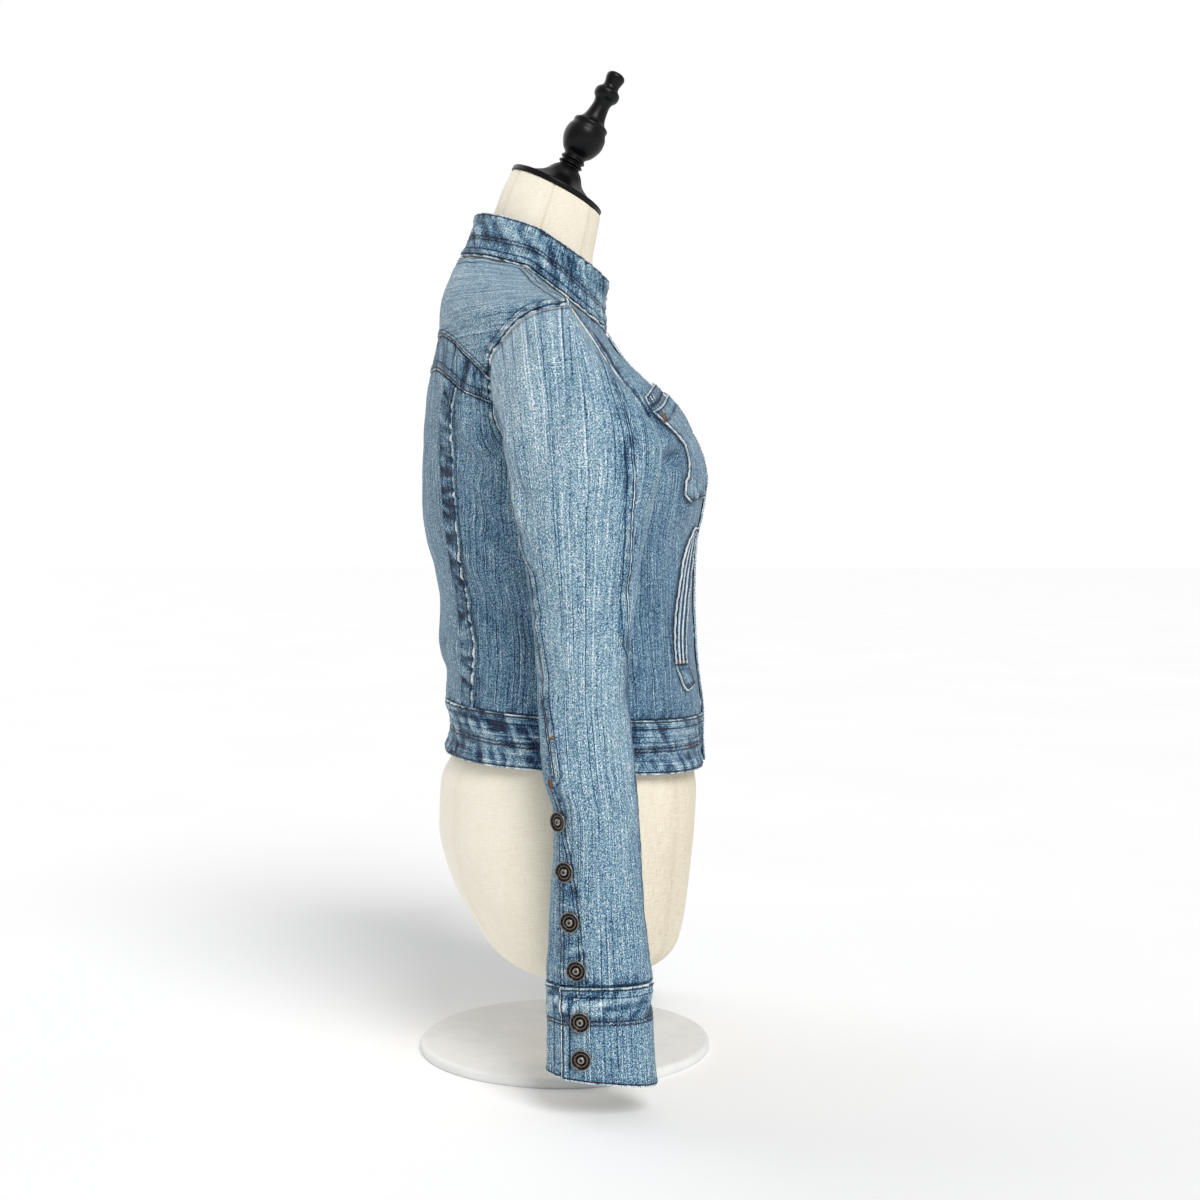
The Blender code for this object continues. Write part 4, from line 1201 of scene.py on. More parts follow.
def welt_piece(seed):
    piece = laid_piece(WELT, spread(112, 1.8), np.linspace(0, 1, 33), seed)
    depth = piece.base[..., 1]
    share = (depth - depth[:, :1]) / (depth[:, -1:] - depth[:, :1])
    foot, head = piece.to_edge("b")[0], piece.to_edge("t")[0]
    along = 2 * np.pi * (share * WELT_RIDGES - 0.05)
    ridges = np.cos(along + 0.6 * cloudy(foot / 14, share * 2, seed))
    piece.height += 0.45 * ridges
    uneven = 0.75 + 0.35 * cloudy(foot / 5, share * 5, seed + 2)
    piece.worn += 1.3 * np.clip(ridges + 0.1, 0, 1) * uneven
    piece.dark += 2.5 * np.clip(0.45 - ridges, 0, 1)
    # The slit is sunk and painted dark, as the shade inside the pocket's opening.
    slit = hump(share, 0.16, 0.07) * np.clip(head / 6 - 1.5, 0, 1)
    piece.height -= 1.0 * slit
    piece.dark += 1.6 * slit
    piece.worn *= 1 - slit
    piece.finish("tlr", "turned", strength=1.2)
    return piece


def tab_piece(seed):
    piece = laid_piece(WELT_TAB, spread(20, 1.8), spread(25, 1.8), seed)
    piece.finish("blr", "turned", strength=1.2)
    inside = np.min([piece.to_edge(side)[0] for side in "tblr"], axis=0)
    piece.dark += 0.9 * hump(inside, 3.6, 1.2)
    piece.finish("t", "under_calm")
    return piece


def low_collar(place, degrees, lift=0.0):
    """The collar with its lower edge drawn down onto the neck seam."""
    drop = 1.25 * np.clip(1 - np.asarray(place, float) / 0.12, 0, 1)
    return collar(place, degrees, lift) - drop[..., None] * np.array([0, 0, 1.0])


def collar_piece(seed):
    around = COLLAR_END + (360 - 2 * COLLAR_END) * spread(430, 1.9)[None, :]
    place = 0.02 + 0.98 * spread(37, 1.7)[:, None]
    piece = Cloth(low_collar, no_relief, COLLAR_STEP, place, around, seed=seed)
    gap, run = piece.to_edge("t")
    piece.rumple(gap, run, 0.95, 7.5, 2.4, -1.1)
    piece.rumple(run / 2.5, gap, 0.4, 8.0, 1.6, 0.1, 1.0, 4.0)
    piece.finish("b", "rope", strength=0.8, lean=0.1)
    piece.worn *= 0.6
    piece.tone -= 0.02
    piece.finish("t", "over_calm")
    piece.finish("lr", "turned")
    piece.band(gap - COLLAR_ROWS)
    return piece


def worn_head(piece):
    """The pale worn edge of a sleeve's head, with a dark line behind it."""
    gap, run = piece.to_edge("t")
    uneven = 0.85 + 0.25 * cloudy(run / 9, gap / 30, piece.seed + 5)
    piece.worn += 1.1 * uneven * hump(gap, 0, 3.6, 4)
    piece.dark += 0.6 * uneven * hump(gap, 6.5, 1.8)


def sleeve_levels(first, pitch):
    """Levels down a sleeve: so many on its head, then one for each pitch, and two under the cuff."""
    head = -CAP * (1 - np.linspace(0, 1, first, endpoint=False) ** 1.25)
    low = between(0, SLEEVE_END, pitch, 1.0, False, True)
    return np.concatenate([head, low, SLEEVE_END + np.array([0.6, 3.5])])


def tucked(levels):
    """How far in the sleeve's last rows lie, where the cuff covers them."""
    return -2.1 * np.clip((levels - SLEEVE_END) / 0.6, 0, 1)


def top_piece(seed):
    levels = sleeve_levels(50, 2.8)
    front, back = SLEEVE_SEAM_TABLE(levels)
    u = spread(105, 2.3)[None, :]
    degrees = blend(front[:, None], back[:, None], u)
    piece = on_sleeve(levels[:, None], degrees, lift=tucked(levels)[:, None], seed=seed)
    piece.finish("t", "over", strength=0.85)
    worn_head(piece)
    piece.finish("l", "over", strength=1.0)
    gap, run = piece.to_edge("l")
    blots = np.clip(cloudy(run / 15, gap / 9, seed + 2), 0, 1) * hump(gap, 8, 5)
    piece.dark += 0.8 * blots
    fade = np.clip(piece.place / 35, 0.1, 1.0)
    beside = gap < piece.to_edge("t")[0]
    piece.marks[..., 0] = np.where(beside, piece.marks[..., 0] * fade, piece.marks[..., 0])
    piece.worn += 0.9 * fade * hump(gap, 1.0, 1.2)
    # Darker towards the wrist and a little about level 80, and darker along the front edge as painted shade,
    # where the sleeve turns away from the light.
    piece.tone = -0.115 * np.clip((piece.place - 80) / 300, 0, 1) - 0.14 * hump(gap, 0, 13)
    piece.tone -= 0.035 * hump(piece.place, 80, 60)
    edge = piece.base[:, -1]
    split = int(np.searchsorted(levels, VENT[0][0]))
    piece.seam(edge[:split], "over", mark=5, strength=1.3)
    piece.seam(piece.base[-3], "under", mark=6)
    return piece


def under_piece(seed):
    levels = sleeve_levels(44, 3.2)
    front, back = SLEEVE_SEAM_TABLE(levels)
    u = spread(150, 2.9)[None, :]
    degrees = blend(back[:, None], front[:, None] + 360, u)
    piece = on_sleeve(levels[:, None], degrees, lift=tucked(levels)[:, None], seed=seed)
    piece.finish("t", "over", strength=0.85)
    worn_head(piece)
    piece.finish("l", "under")
    piece.finish("r", "under_calm")
    piece.seam(piece.base[-3], "under", mark=6)
    return piece


def vent_piece(seed):
    levels = between(VENT[0][0], VENT[-1][0], 1.9)
    edge, inner = VENT_TABLE(levels)
    u = spread(22, 1.9)[None, :]
    degrees = blend(edge[:, None], inner[:, None], u)
    piece = on_sleeve(levels[:, None], degrees, lift=LAID + FACE, seed=seed)
    gap, run = piece.to_edge("l")
    piece.rumple(gap, run, 0.6, 11.0, 1.6)
    piece.finish("tlr", "brown")
    return piece


def cuff_piece(seed):
    level = between(CUFF_TOP, CUFF_EDGE, 2.1)[:, None]
    around = CUFF_START + (CUFF_END - CUFF_START) * spread(235, 1.9)[None, :]
    lap = np.clip(1 - (CUFF_START - around) / CUFF_LAP / 2, 0, 1) * (LAID + WALL)
    piece = on_sleeve(level, around, lift=lap, seed=seed)
    gap, run = piece.to_edge("t")
    fade = np.clip((29 - gap) / 7, 0, 1)
    piece.rumple(gap, run, 0.85, 11.0, 1.3, 0.6, fade)
    piece.rumple(run / 3, gap, 0.8, 8.0, 1.6, 0.1, fade, 4.0)
    piece.finish("t", "over", strength=0.8)
    piece.finish("b", "turned")
    piece.finish("l", "over_calm")
    piece.band(gap - CUFF_ROWS)
    return piece




# Rows of stitches along an edge of a piece, from one share of the edge to another.
PAIR_ROWS = [  # piece of each side, edges, distances from them, thread, first, last
    ("front", "r", (2.0,), "brown", 0.26, 0.55),
    ("front", "r", (7.4,), "brown", 0.27, 0.55),
    ("side_back", "l", (2.0, 7.4), "brown", 0.02, 0.28),
    ("top_sleeve", "r", (1.6,), "brown", 0.1, 0.66),
    ("top_sleeve", "r", (6.6,), "brown", 0.12, 0.66),
    ("chest_pocket", "l", (2.2,), "brown", 0.02, 0.97),
    ("chest_pocket", "b", (2.2,), "brown", 0.0, 1.0),
    ("chest_pocket", "r", (2.2,), "brown", 0.03, 0.97),
    ("chest_pocket", "t", (12.4,), "brown", 0.03, 0.97),
    ("pocket_band", "b", (4.6,), "brown", 0.03, 0.97),
    ("pocket_band", "t", (1.8,), "brown", 0.03, 0.97),
    ("welt_pocket", "lr", (2.6, 5.2), "dark", 0.03, 0.99),
    ("pocket_tab", "blr", (1.5,), "brown", 0.05, 0.95),
    ("back_strip", "l", (2.2,), "dark", 0.01, 0.99),
    ("back_strip", "r", (1.8,), "dark", 0.01, 0.99),
    ("vent_placket", "lr", (2.0,), "brown", 0.02, 0.98),
    ("cuff", "t", (2.0, CUFF_ROWS - ROWS_APART, CUFF_ROWS + ROWS_APART), "brown", 0.01, 0.99),
    ("cuff", "b", (2.4,), "brown", 0.01, 0.99),
    ("cuff", "l", (2.2,), "brown", 0.02, 0.98),
]
SINGLE_ROWS = [
    ("back_yoke", "b", (1.6, 4.4), "brown", 0.01, 0.99),
    ("back_yoke", "l", (1.7,), "brown", 0.01, 0.99),
    ("back_yoke", "l", (7.2,), "brown", 0.03, 0.99),
    ("back_yoke", "r", (1.7,), "brown", 0.01, 0.99),
    ("back_yoke", "r", (7.2,), "brown", 0.03, 0.99),
    ("back_yoke", "t", (2.0,), "brown", 0.01, 0.99),
    ("back_band", "b", (1.8, 5.0), "brown", 0.01, 0.99),
    ("collar", "b", (2.2,), "brown", 0.005, 0.995),
    ("collar", "t", (COLLAR_ROWS - ROWS_APART, COLLAR_ROWS + ROWS_APART), "brown", 0.02, 0.98),
    ("collar", "t", (3.2,), "brown", 0.005, 0.995),
    ("collar", "lr", (2.4,), "brown", 0.05, 0.95),
    ("hem_band", "t", (2.0, HEM_ROWS - ROWS_APART, HEM_ROWS + ROWS_APART), "brown", 0.005, 0.995),
    ("hem_band", "b", (2.2,), "dark", 0.005, 0.995),
    ("placket", "lr", (2.4,), "brown", 0.01, 0.99),
    ("placket", "lr", (6.2,), "brown", 0.01, 0.99),
    ("placket", "b", (2.4,), "brown", 0.05, 0.95),
]
# Short dense bars of rust thread across a seam. They stand a little higher than the rows.
PAIR_BARTACKS = [  # piece of each side, edge, place along it, from and to this far from it
    ("chest_pocket", "t", 0.2, 2.5, 13.0),
    ("chest_pocket", "t", 0.25, 6.5, 13.5),
    ("welt_pocket", "l", 0.97, 4.0, 18.0),
    ("top_sleeve", "r", 0.645, 2.0, 8.0),
    ("front", "r", 0.262, 2.0, 10.0),
    ("front", "r", 0.275, 2.0, 10.0),
    ("vent_placket", "t", 0.35, 1.0, 8.0),
    ("vent_placket", "t", 0.6, 1.0, 8.0),
]
THREAD_WIDTH = 0.75
STITCH_HEIGHT = 0.42
TACK_LENGTH, TACK_HEIGHT, TACK_PITCH, TACK_LIFT = 2.6, 0.8, 0.7, 0.15
FAR_OFF = 12  # a point of a row that is further from its cloth is left out


def row_beside(piece, side, distance, first=0.0, last=1.0):
    """Points this far in from a piece's edge, before they are laid on its face."""
    points = MADE[piece][0]
    edge = edge_line(points, side)
    second = {"t": points[3], "b": points[-4], "l": points[:, 3], "r": points[:, -4]}[side]
    along = unit(np.gradient(edge, axis=0))
    inward = second - edge
    inward = unit(inward - np.sum(inward * along, axis=-1, keepdims=True) * along)
    line = edge + inward * distance
    run = arc(edge)
    keep = (run >= first * run[-1]) & (run <= last * run[-1])
    line = line[keep]
    soft = line.copy()
    for _ in range(3):
        soft[1:-1] = (soft[:-2] + 2 * soft[1:-1] + soft[2:]) / 4
    return soft


def laid_on(piece, line, pitch):
    """The line's points moved onto a piece's outer face, with the face's normals."""
    points, normals, tree = MADE[piece]
    outward = normals.reshape(-1, 3)
    faces = grid_faces(*points.shape[:2])
    found, ways = [], []
    for place in resampled(line, pitch):
        spot, _, face, gap = tree.find_nearest(Vector(place))
        if spot is not None and gap < FAR_OFF:
            found.append(tuple(spot))
            ways.append(outward[faces[face][0]])
    return np.array(found), np.array(ways)


STITCH_ENDS = [(-0.5, 0.35, -0.25), (0.0, 1.0, 1.0), (0.5, 0.35, -0.25)]  # along, girth, rise
STITCH_SIDES = ((-1, 0), (0, 1), (1, 0), (0, -1))  # across, up


def stitch_mesh(places, along, normals, length, width, height):
    """Points and faces of many stitches, each a short raised thread with sunken ends."""
    across = unit(np.cross(normals, along))
    points = []
    for share, girth, rise in STITCH_ENDS:
        centre = places + along * (share * length) + normals * (height * rise * 0.5)
        for side, up in STITCH_SIDES:
            corner = across * (side * girth * width / 2) + normals * (up * girth * height / 2)
            points.append(centre + corner)
    points = np.stack(points, axis=1)
    one = []
    for ring in (0, 4):
        for k, after in ((0, 1), (1, 2), (2, 3), (3, 0)):
            one.append((ring + k, ring + after, ring + after + 4, ring + k + 4))
    one += [(3, 2, 1, 0), (8, 9, 10, 11)]
    faces = np.array(one)[None] + np.arange(len(places))[:, None, None] * points.shape[1]
    return points.reshape(-1, 3), faces.reshape(-1, 4)


def stitch_row(piece, line, pitch, length):
    """A row of stitches along a line, laid on a piece."""
    spots, ways = laid_on(piece, line, pitch)
    along = unit(np.gradient(spots, axis=0))
    along = unit(along - np.sum(along * ways, axis=-1, keepdims=True) * ways)
    return stitch_mesh(spots, along, ways, length, THREAD_WIDTH, STITCH_HEIGHT)


def joined(parts):
    """Several meshes as one."""
    points, faces, shift = [], [], 0
    for some, quads in parts:
        points.append(some)
        faces.append(quads + shift)
        shift += len(some)
    return np.concatenate(points), np.concatenate(faces)


def bartack(piece, side, place, start, end):
    """A short, dense bar of thread across a seam."""
    across_edge = [row_beside(piece, side, distance) for distance in (start, end)]
    middle = int(place * (len(across_edge[0]) - 1))
    spots, ways = laid_on(piece, np.array([row[middle] for row in across_edge]), TACK_PITCH)
    across = unit(np.gradient(spots, axis=0))
    along = unit(np.cross(ways, across))
    return stitch_mesh(spots + ways * TACK_LIFT, along, ways, TACK_LENGTH, THREAD_WIDTH, TACK_HEIGHT)


DENIM_TONES = [  # tone, red, green, blue
    (0.0, 12, 26, 50),
    (0.18, 28, 61, 97),
    (0.36, 61, 101, 134),
    (0.54, 102, 139, 161),
    (0.72, 141, 174, 191),
    (0.93, 184, 206, 215),
    (1.0, 238, 242, 242),
]
WRONG_SIDE_TONES = [(0.0, 92, 106, 120), (0.5, 150, 163, 172), (1.0, 202, 208, 210)]
LINEN_TONES = [(0.0, 186, 172, 146), (0.45, 236, 226, 204), (0.7, 247, 240, 222), (1.0, 254, 250, 240)]
METAL_TONES = [(0.0, 10, 10, 11), (0.35, 42, 40, 38), (0.65, 102, 97, 91), (1.0, 168, 162, 152)]


def srgb(red, green, blue):
    """A colour given in 0 to 255, as Blender's linear numbers."""
    shares = np.array([red, green, blue]) / 255
    linear = np.where(shares <= 0.04045, shares / 12.92, ((shares + 0.055) / 1.055) ** 2.4)
    return (*(float(x) for x in linear), 1.0)


class Nodes:
    """Short calls for adding nodes to a tree."""

    def __init__(self, tree):
        self.tree = tree

    def add(self, kind, **settings):
        made = self.tree.nodes.new(kind)
        for name, value in settings.items():
            setattr(made, name, value)
        return made

    def feed(self, socket, value):
        if isinstance(value, bpy.types.NodeSocket):
            self.tree.links.new(value, socket)
        else:
            socket.default_value = value

    def put(self, node, **values):
        """Links or sets a node's inputs. An underscore in a name stands for a space."""
        for name, value in values.items():
            self.feed(node.inputs[name.replace("_", " ")], value)

    def math(self, operation, *values, clamp=False):
        made = self.add("ShaderNodeMath", operation=operation, use_clamp=clamp)
        for socket, value in zip(made.inputs, values):
            self.feed(socket, value)
        return made.outputs[0]

    def total(self, *terms):
        """The sum of (value, factor) pairs."""
        whole = None
        for value, factor in terms:
            part = self.math("MULTIPLY", value, factor)
            whole = part if whole is None else self.math("ADD", whole, part)
        return whole

    def ramp(self, value, stops):
        """The colour at a value between stops, each a place and a colour in 0 to 255."""
        made = self.add("ShaderNodeValToRGB")
        ramp = made.color_ramp
        while len(ramp.elements) < len(stops):
            ramp.elements.new(0.5)
        for element, (place, *colour) in zip(ramp.elements, stops):
            element.position = place
            element.color = srgb(*colour)
        self.put(made, Fac=value)
        return made.outputs[0]

    def stored(self, name):
        """The vector that an attribute holds at each point."""
        return self.add("ShaderNodeAttribute", attribute_name=name).outputs["Vector"]

    def parts(self, vector):
        made = self.add("ShaderNodeSeparateXYZ")
        self.put(made, Vector=vector)
        return made.outputs

    def place(self):
        return self.add("ShaderNodeTexCoord").outputs["Object"]

    def grain(self, place, fineness, detail, roughness):
        """The shared grain group, placed with its own values."""
        made = self.add("ShaderNodeGroup", node_tree=grain_group())
        self.put(made, Place=place, Fineness=fineness, Detail=detail, Roughness=roughness)
        return made.outputs["Change"]

    def relief(self, shader, height, strength, distance):
        """Fine relief on a shader, this many metres deep."""
        made = self.add("ShaderNodeBump")
        self.put(made, Strength=strength, Distance=distance, Height=height)
        self.put(shader, Normal=made.outputs["Normal"])


def grain_group():
    """Uneven grain for every material, from about -1 to 1. A grain measures 1 / fineness."""
    kept = bpy.data.node_groups.get("Uneven grain")
    if kept:
        return kept
    group = bpy.data.node_groups.new("Uneven grain", "ShaderNodeTree")
    for name in ("Place", "Fineness"):
        group.interface.new_socket(name=name, in_out="INPUT", socket_type="NodeSocketVector")
    for name in ("Detail", "Roughness"):
        group.interface.new_socket(name=name, in_out="INPUT", socket_type="NodeSocketFloat")
    group.interface.new_socket(name="Change", in_out="OUTPUT", socket_type="NodeSocketFloat")
    nodes = Nodes(group)
    given = nodes.add("NodeGroupInput").outputs
    finer = nodes.add("ShaderNodeVectorMath", operation="MULTIPLY")
    nodes.feed(finer.inputs[0], given["Place"])
    nodes.feed(finer.inputs[1], given["Fineness"])
    noise = nodes.add("ShaderNodeTexNoise")
    nodes.put(noise, Vector=finer.outputs[0], Scale=1.0)
    nodes.put(noise, Detail=given["Detail"], Roughness=given["Roughness"])
    centred = nodes.math("MULTIPLY_ADD", noise.outputs[0], 4.0, -2.0)
    nodes.put(nodes.add("NodeGroupOutput"), Change=centred)
    return group


def stripe(nodes, distance, middle, width):
    """1 on a line, falling to 0 at this width to each side of it."""
    away = nodes.math("MULTIPLY", nodes.math("SUBTRACT", distance, middle), 1.0 / width)
    return nodes.math("SUBTRACT", 1.0, nodes.math("MULTIPLY", away, away), clamp=True)


def slubs(nodes, weave, shift, per_mm):
    """Thick threads along the warp, at uneven places across it, that come and go."""
    lines = nodes.add("ShaderNodeTexVoronoi", voronoi_dimensions="1D")
    nodes.put(lines, W=nodes.math("ADD", nodes.parts(weave)[0], shift), Scale=per_mm)
    thin = stripe(nodes, lines.outputs["Distance"], 0.0, 0.6 * per_mm)
    runs = nodes.grain(weave, (0.3, 0.013, 1.0 + shift), 0.0, 0.5)
    return nodes.math("MULTIPLY", thin, nodes.math("ADD", runs, 0.5, clamp=True))


def denim(nodes, shader):
    """Washed denim: slubs along the warp, a hatched grain, the worn edges along its seams, and the painted
    light and shade that its attributes give, with painted shade beside its seams and rows of stitches.
    """
    weave = nodes.stored("weave")
    worn, dark, tone = nodes.parts(nodes.stored("finish"))
    gap, edge_wear_and_shade, edge_under_shadow = nodes.parts(nodes.stored("seam"))
    first_row, second_row, middle = nodes.parts(nodes.stored("rows"))
    pale_slub = slubs(nodes, weave, 0.0, 0.23)
    dark_slub = slubs(nodes, weave, 70.0, 0.2)
    thread = nodes.grain(weave, (0.9, 0.045, 1.0), 1.0, 0.5)
    weft = nodes.grain(weave, (0.09, 0.8, 1.0), 1.0, 0.6)
    grain = nodes.grain(nodes.place(), (1300.0, 1300.0, 1050.0), 1.0, 0.7)
    patch = nodes.grain(weave, (0.16, 0.16, 1.0), 2.0, 0.6)
    # The rim is the pale rubbed edge. Beside it the cloth is painted darker, as the shade in the hollow
    # there; where a piece goes under its neighbour, its edge has a painted shadow; and along the sunken rows
    # of stitches it is painted darker, as their shade.
    rim = nodes.math("MULTIPLY", stripe(nodes, gap, 0.45, 1.35), edge_wear_and_shade)
    rim = nodes.math("MULTIPLY", rim, nodes.math("MULTIPLY_ADD", patch, 0.3, 0.8))
    shaded_groove = nodes.math("MULTIPLY", stripe(nodes, gap, 2.05, 0.8), edge_wear_and_shade)
    under = nodes.math("MULTIPLY", stripe(nodes, gap, 0.0, 1.5), edge_under_shadow)
    rows = nodes.math("ADD", stripe(nodes, gap, first_row, 0.8), stripe(nodes, gap, second_row, 0.8))
    rows = nodes.math("ADD", rows, stripe(nodes, nodes.math("ABSOLUTE", middle), ROWS_APART, 0.8))
    level = nodes.total(
        (tone, 1.0), (pale_slub, 0.24), (dark_slub, -0.32), (thread, 0.13), (weft, 0.06), (grain, 0.56),
        (worn, 0.36), (dark, -0.42), (rim, 0.55), (shaded_groove, -0.38), (under, -0.5), (rows, -0.42),
    )
    height = nodes.total(
        (pale_slub, 0.5), (dark_slub, -0.5), (thread, 0.3), (grain, 0.5), (weft, 0.15),
        (rim, 1.2), (shaded_groove, -0.9), (under, -1.2), (rows, -1.3),
    )
    colour, rough = nodes.ramp(level, DENIM_TONES), nodes.math("MULTIPLY_ADD", grain, 0.05, 0.86)
    cloth_finish(nodes, shader, colour, rough, height, 0.55, 0.12)


def wrong_side(nodes, shader):
    """The pale wrong side of the denim."""
    weave = nodes.stored("weave")
    fine = nodes.grain(weave, (0.6, 0.05, 1.0), 3.0, 0.6)
    grain = nodes.grain(weave, (1.1, 0.9, 1.0), 2.0, 0.7)
    level = nodes.total((fine, 0.1), (grain, 0.12))
    tone = nodes.math("ADD", level, 0.55)
    rough = nodes.math("MULTIPLY", tone, 1.6, clamp=True)
    cloth_finish(nodes, shader, nodes.ramp(tone, WRONG_SIDE_TONES), rough, level, 0.4, 0.1)


def linen(nodes, shader):
    """Cream linen over the form: a fine plain weave with slubs both ways, painted darker in front and paler
    behind as shade and light, and painted darker in the grooves of its seams as their shade.
    """
    weave = nodes.stored("weave")
    shaded_groove = nodes.parts(nodes.stored("finish"))[1]
    warp = nodes.grain(weave, (1.1, 0.08, 1.0), 2.0, 0.6)
    weft = nodes.grain(weave, (0.08, 1.1, 1.0), 2.0, 0.6)
    cloud = nodes.grain(weave, (0.012, 0.01, 1.0), 2.0, 0.5)
    # Darker in front and paler behind: painted shade and light.
    painted_shade_front_light_back = nodes.parts(nodes.place())[1]
    level = nodes.total((warp, 0.13), (weft, 0.13), (cloud, 0.07), (shaded_groove, -0.5), (painted_shade_front_light_back, 2.0))
    colour = nodes.ramp(nodes.math("ADD", level, 0.6), LINEN_TONES)
    rough = nodes.math("MULTIPLY_ADD", warp, 0.03, 0.92)
    cloth_finish(nodes, shader, colour, rough, nodes.total((warp, 0.4), (weft, 0.4)), 0.35, 0.1)


def cloth_finish(nodes, shader, colour, rough, height, bump, sheen):
    nodes.relief(shader, height, bump, 0.0005)
    nodes.put(shader, Base_Color=colour, Roughness=rough, Sheen_Weight=sheen, Specular_IOR_Level=0.25)


def thread(nodes, shader, colour):
    """Sewing thread, whose tone varies along its rows."""
    change = nodes.grain(nodes.place(), (400.0, 400.0, 400.0), 2.0, 0.5)
    share = nodes.math("MULTIPLY_ADD", change, 0.3, 0.5)
    dark = [level * 0.6 for level in colour]
    light = [min(level * 1.35, 255) for level in colour]
    tone = nodes.ramp(share, [(0.0, *dark), (1.0, *light)])
    nodes.put(shader, Base_Color=tone, Roughness=0.7, Sheen_Weight=0.2)


def plain(nodes, shader, dark, light, fineness, roughness, coat=0.0, bump=0.0, shine=0.5):
    """A hard finish whose colour and gloss vary slowly between two tones."""
    change = nodes.grain(nodes.place(), (fineness, fineness, fineness), 3.0, 0.6)
    share = nodes.math("MULTIPLY_ADD", change, 0.35, 0.5)
    nodes.put(
        shader, Base_Color=nodes.ramp(share, [(0.0, *dark), (1.0, *light)]), Specular_IOR_Level=shine,
        Roughness=nodes.math("MULTIPLY_ADD", change, 0.06, roughness), Coat_Weight=coat, Coat_Roughness=0.25,
    )
    if bump:
        nodes.relief(shader, change, bump, 0.0003)


def worn_shaded_metal(nodes, shader):
    """Worn gunmetal, nearly black in its recesses and bright on its rims, as an attribute says: rubbed
    metal, with painted shade in the recesses and painted highlights on the rims.
    """
    change = nodes.grain(nodes.place(), (1100.0, 1100.0, 1100.0), 3.0, 0.6)
    share = nodes.math("MULTIPLY_ADD", change, 0.12, nodes.parts(nodes.stored("wear"))[0])
    rough = nodes.math("MULTIPLY_ADD", change, 0.08, 0.32)
    nodes.put(shader, Base_Color=nodes.ramp(share, METAL_TONES), Roughness=rough, Metallic=0.85)


MATERIALS = {  # name: what fills it, settings
    "denim_outside": (denim, {}),
    "denim_wrong_side": (wrong_side, {}),
    "form_linen": (linen, {}),
    "button_metal_worn": (worn_shaded_metal, {}),
    "cap_black_wood": (plain, dict(
        dark=(3, 3, 4), light=(12, 13, 15), fineness=120.0, roughness=0.36, coat=0.07, bump=0.05, shine=0.17
    )),
    "stand_white_paint": (plain, dict(
        dark=(226, 226, 224), light=(240, 240, 238), fineness=60.0, roughness=0.45, bump=0.05
    )),
    "floor_pale": (plain, dict(
        dark=(250, 250, 250), light=(254, 254, 254), fineness=2.0, roughness=0.9
    )),
}


def material(name, fill=None, **settings):
    """The material of this name, made on the first call."""
    kept = bpy.data.materials.get(name)
    if kept:
        return kept
    if fill is None:
        fill, settings = MATERIALS[name]
    made = bpy.data.materials.new(name)
    made.use_nodes = True
    fill(Nodes(made.node_tree), made.node_tree.nodes["Principled BSDF"], **settings)
    return made


def smooth_profile(rows, corner_from, steps):
    """A turned profile with more points between its rows, straight before one row and at its end."""
    rows = np.array(rows, float)
    run = arc(rows)
    slope = np.gradient(rows, run, axis=0)
    found = [rows[0]]
    for k in range(len(rows) - 1):
        length = run[k + 1] - run[k]
        straight = k < corner_from or k >= len(rows) - 2
        for s in np.linspace(0, 1, steps + 1)[1:]:
            if straight:
                found.append(blend(rows[k], rows[k + 1], s))
            else:
                found.append(eased(s, rows[k], length * slope[k], rows[k + 1], length * slope[k + 1]))
    return np.array(found)


def turned(profile, base, axis, sides):
    """Points and quads of a profile turned about an axis. Its ends close on a tiny ring."""
    axis = unit(np.array(axis, float))
    helper = np.array([1.0, 0, 0]) if abs(axis[0]) < 0.7 else np.array([0, 1.0, 0])
    one = unit(np.cross(axis, helper))
    two = np.cross(axis, one)
    angle = np.arange(sides) * 2 * np.pi / sides
    spokes = np.cos(angle)[:, None] * one + np.sin(angle)[:, None] * two
    radius = np.maximum(profile[:, 0], 0.02)
    rings = np.array(base) + axis * profile[:, 1][:, None, None] + spokes[None] * radius[:, None, None]
    return rings.reshape(-1, 3), ring_faces(len(profile), sides)


def ring_faces(rows, sides):
    """Quads between closed rings of points, with a fan of quads over each end."""
    index = np.arange(rows * sides).reshape(rows, sides)
    after = np.roll(index, -1, axis=1)
    faces = np.stack([index[:-1], after[:-1], after[1:], index[1:]], axis=-1).reshape(-1, 4)
    fan = np.array([(0, k + 1, k + 2, k + 3) for k in range(0, sides - 3, 2)])
    return np.concatenate([faces, fan[:, ::-1], fan + (rows - 1) * sides])


BUTTON_FACE = [  # radius, height, paleness: rubbed metal, with painted highlights on the rims and painted shade in the recesses
    (0, -0.4, 0.2), (6.4, -0.4, 0.2), (7.2, 0.2, 0.2), (7.7, 1.0, 0.3), (7.85, 1.8, 0.5),
    (7.7, 2.5, 0.8), (7.4, 2.75, 0.85), (7.0, 2.65, 0.6), (6.8, 2.2, 0.3), (6.5, 1.7, 0.08),
    (6.0, 1.5, 0.05), (5.5, 1.55, 0.12), (5.1, 1.9, 0.5), (4.7, 2.15, 0.75), (4.3, 2.0, 0.5),
    (4.0, 1.6, 0.1), (3.5, 1.45, 0.04), (3.1, 1.5, 0.08), (2.9, 2.0, 0.4), (2.6, 2.6, 0.75),
    (2.1, 3.0, 0.95), (1.4, 3.1, 0.8), (0.9, 2.9, 0.4), (0.5, 2.75, 0.3), (0, 2.7, 0.3),
]
NOTCHES = 12  # around a button's ring


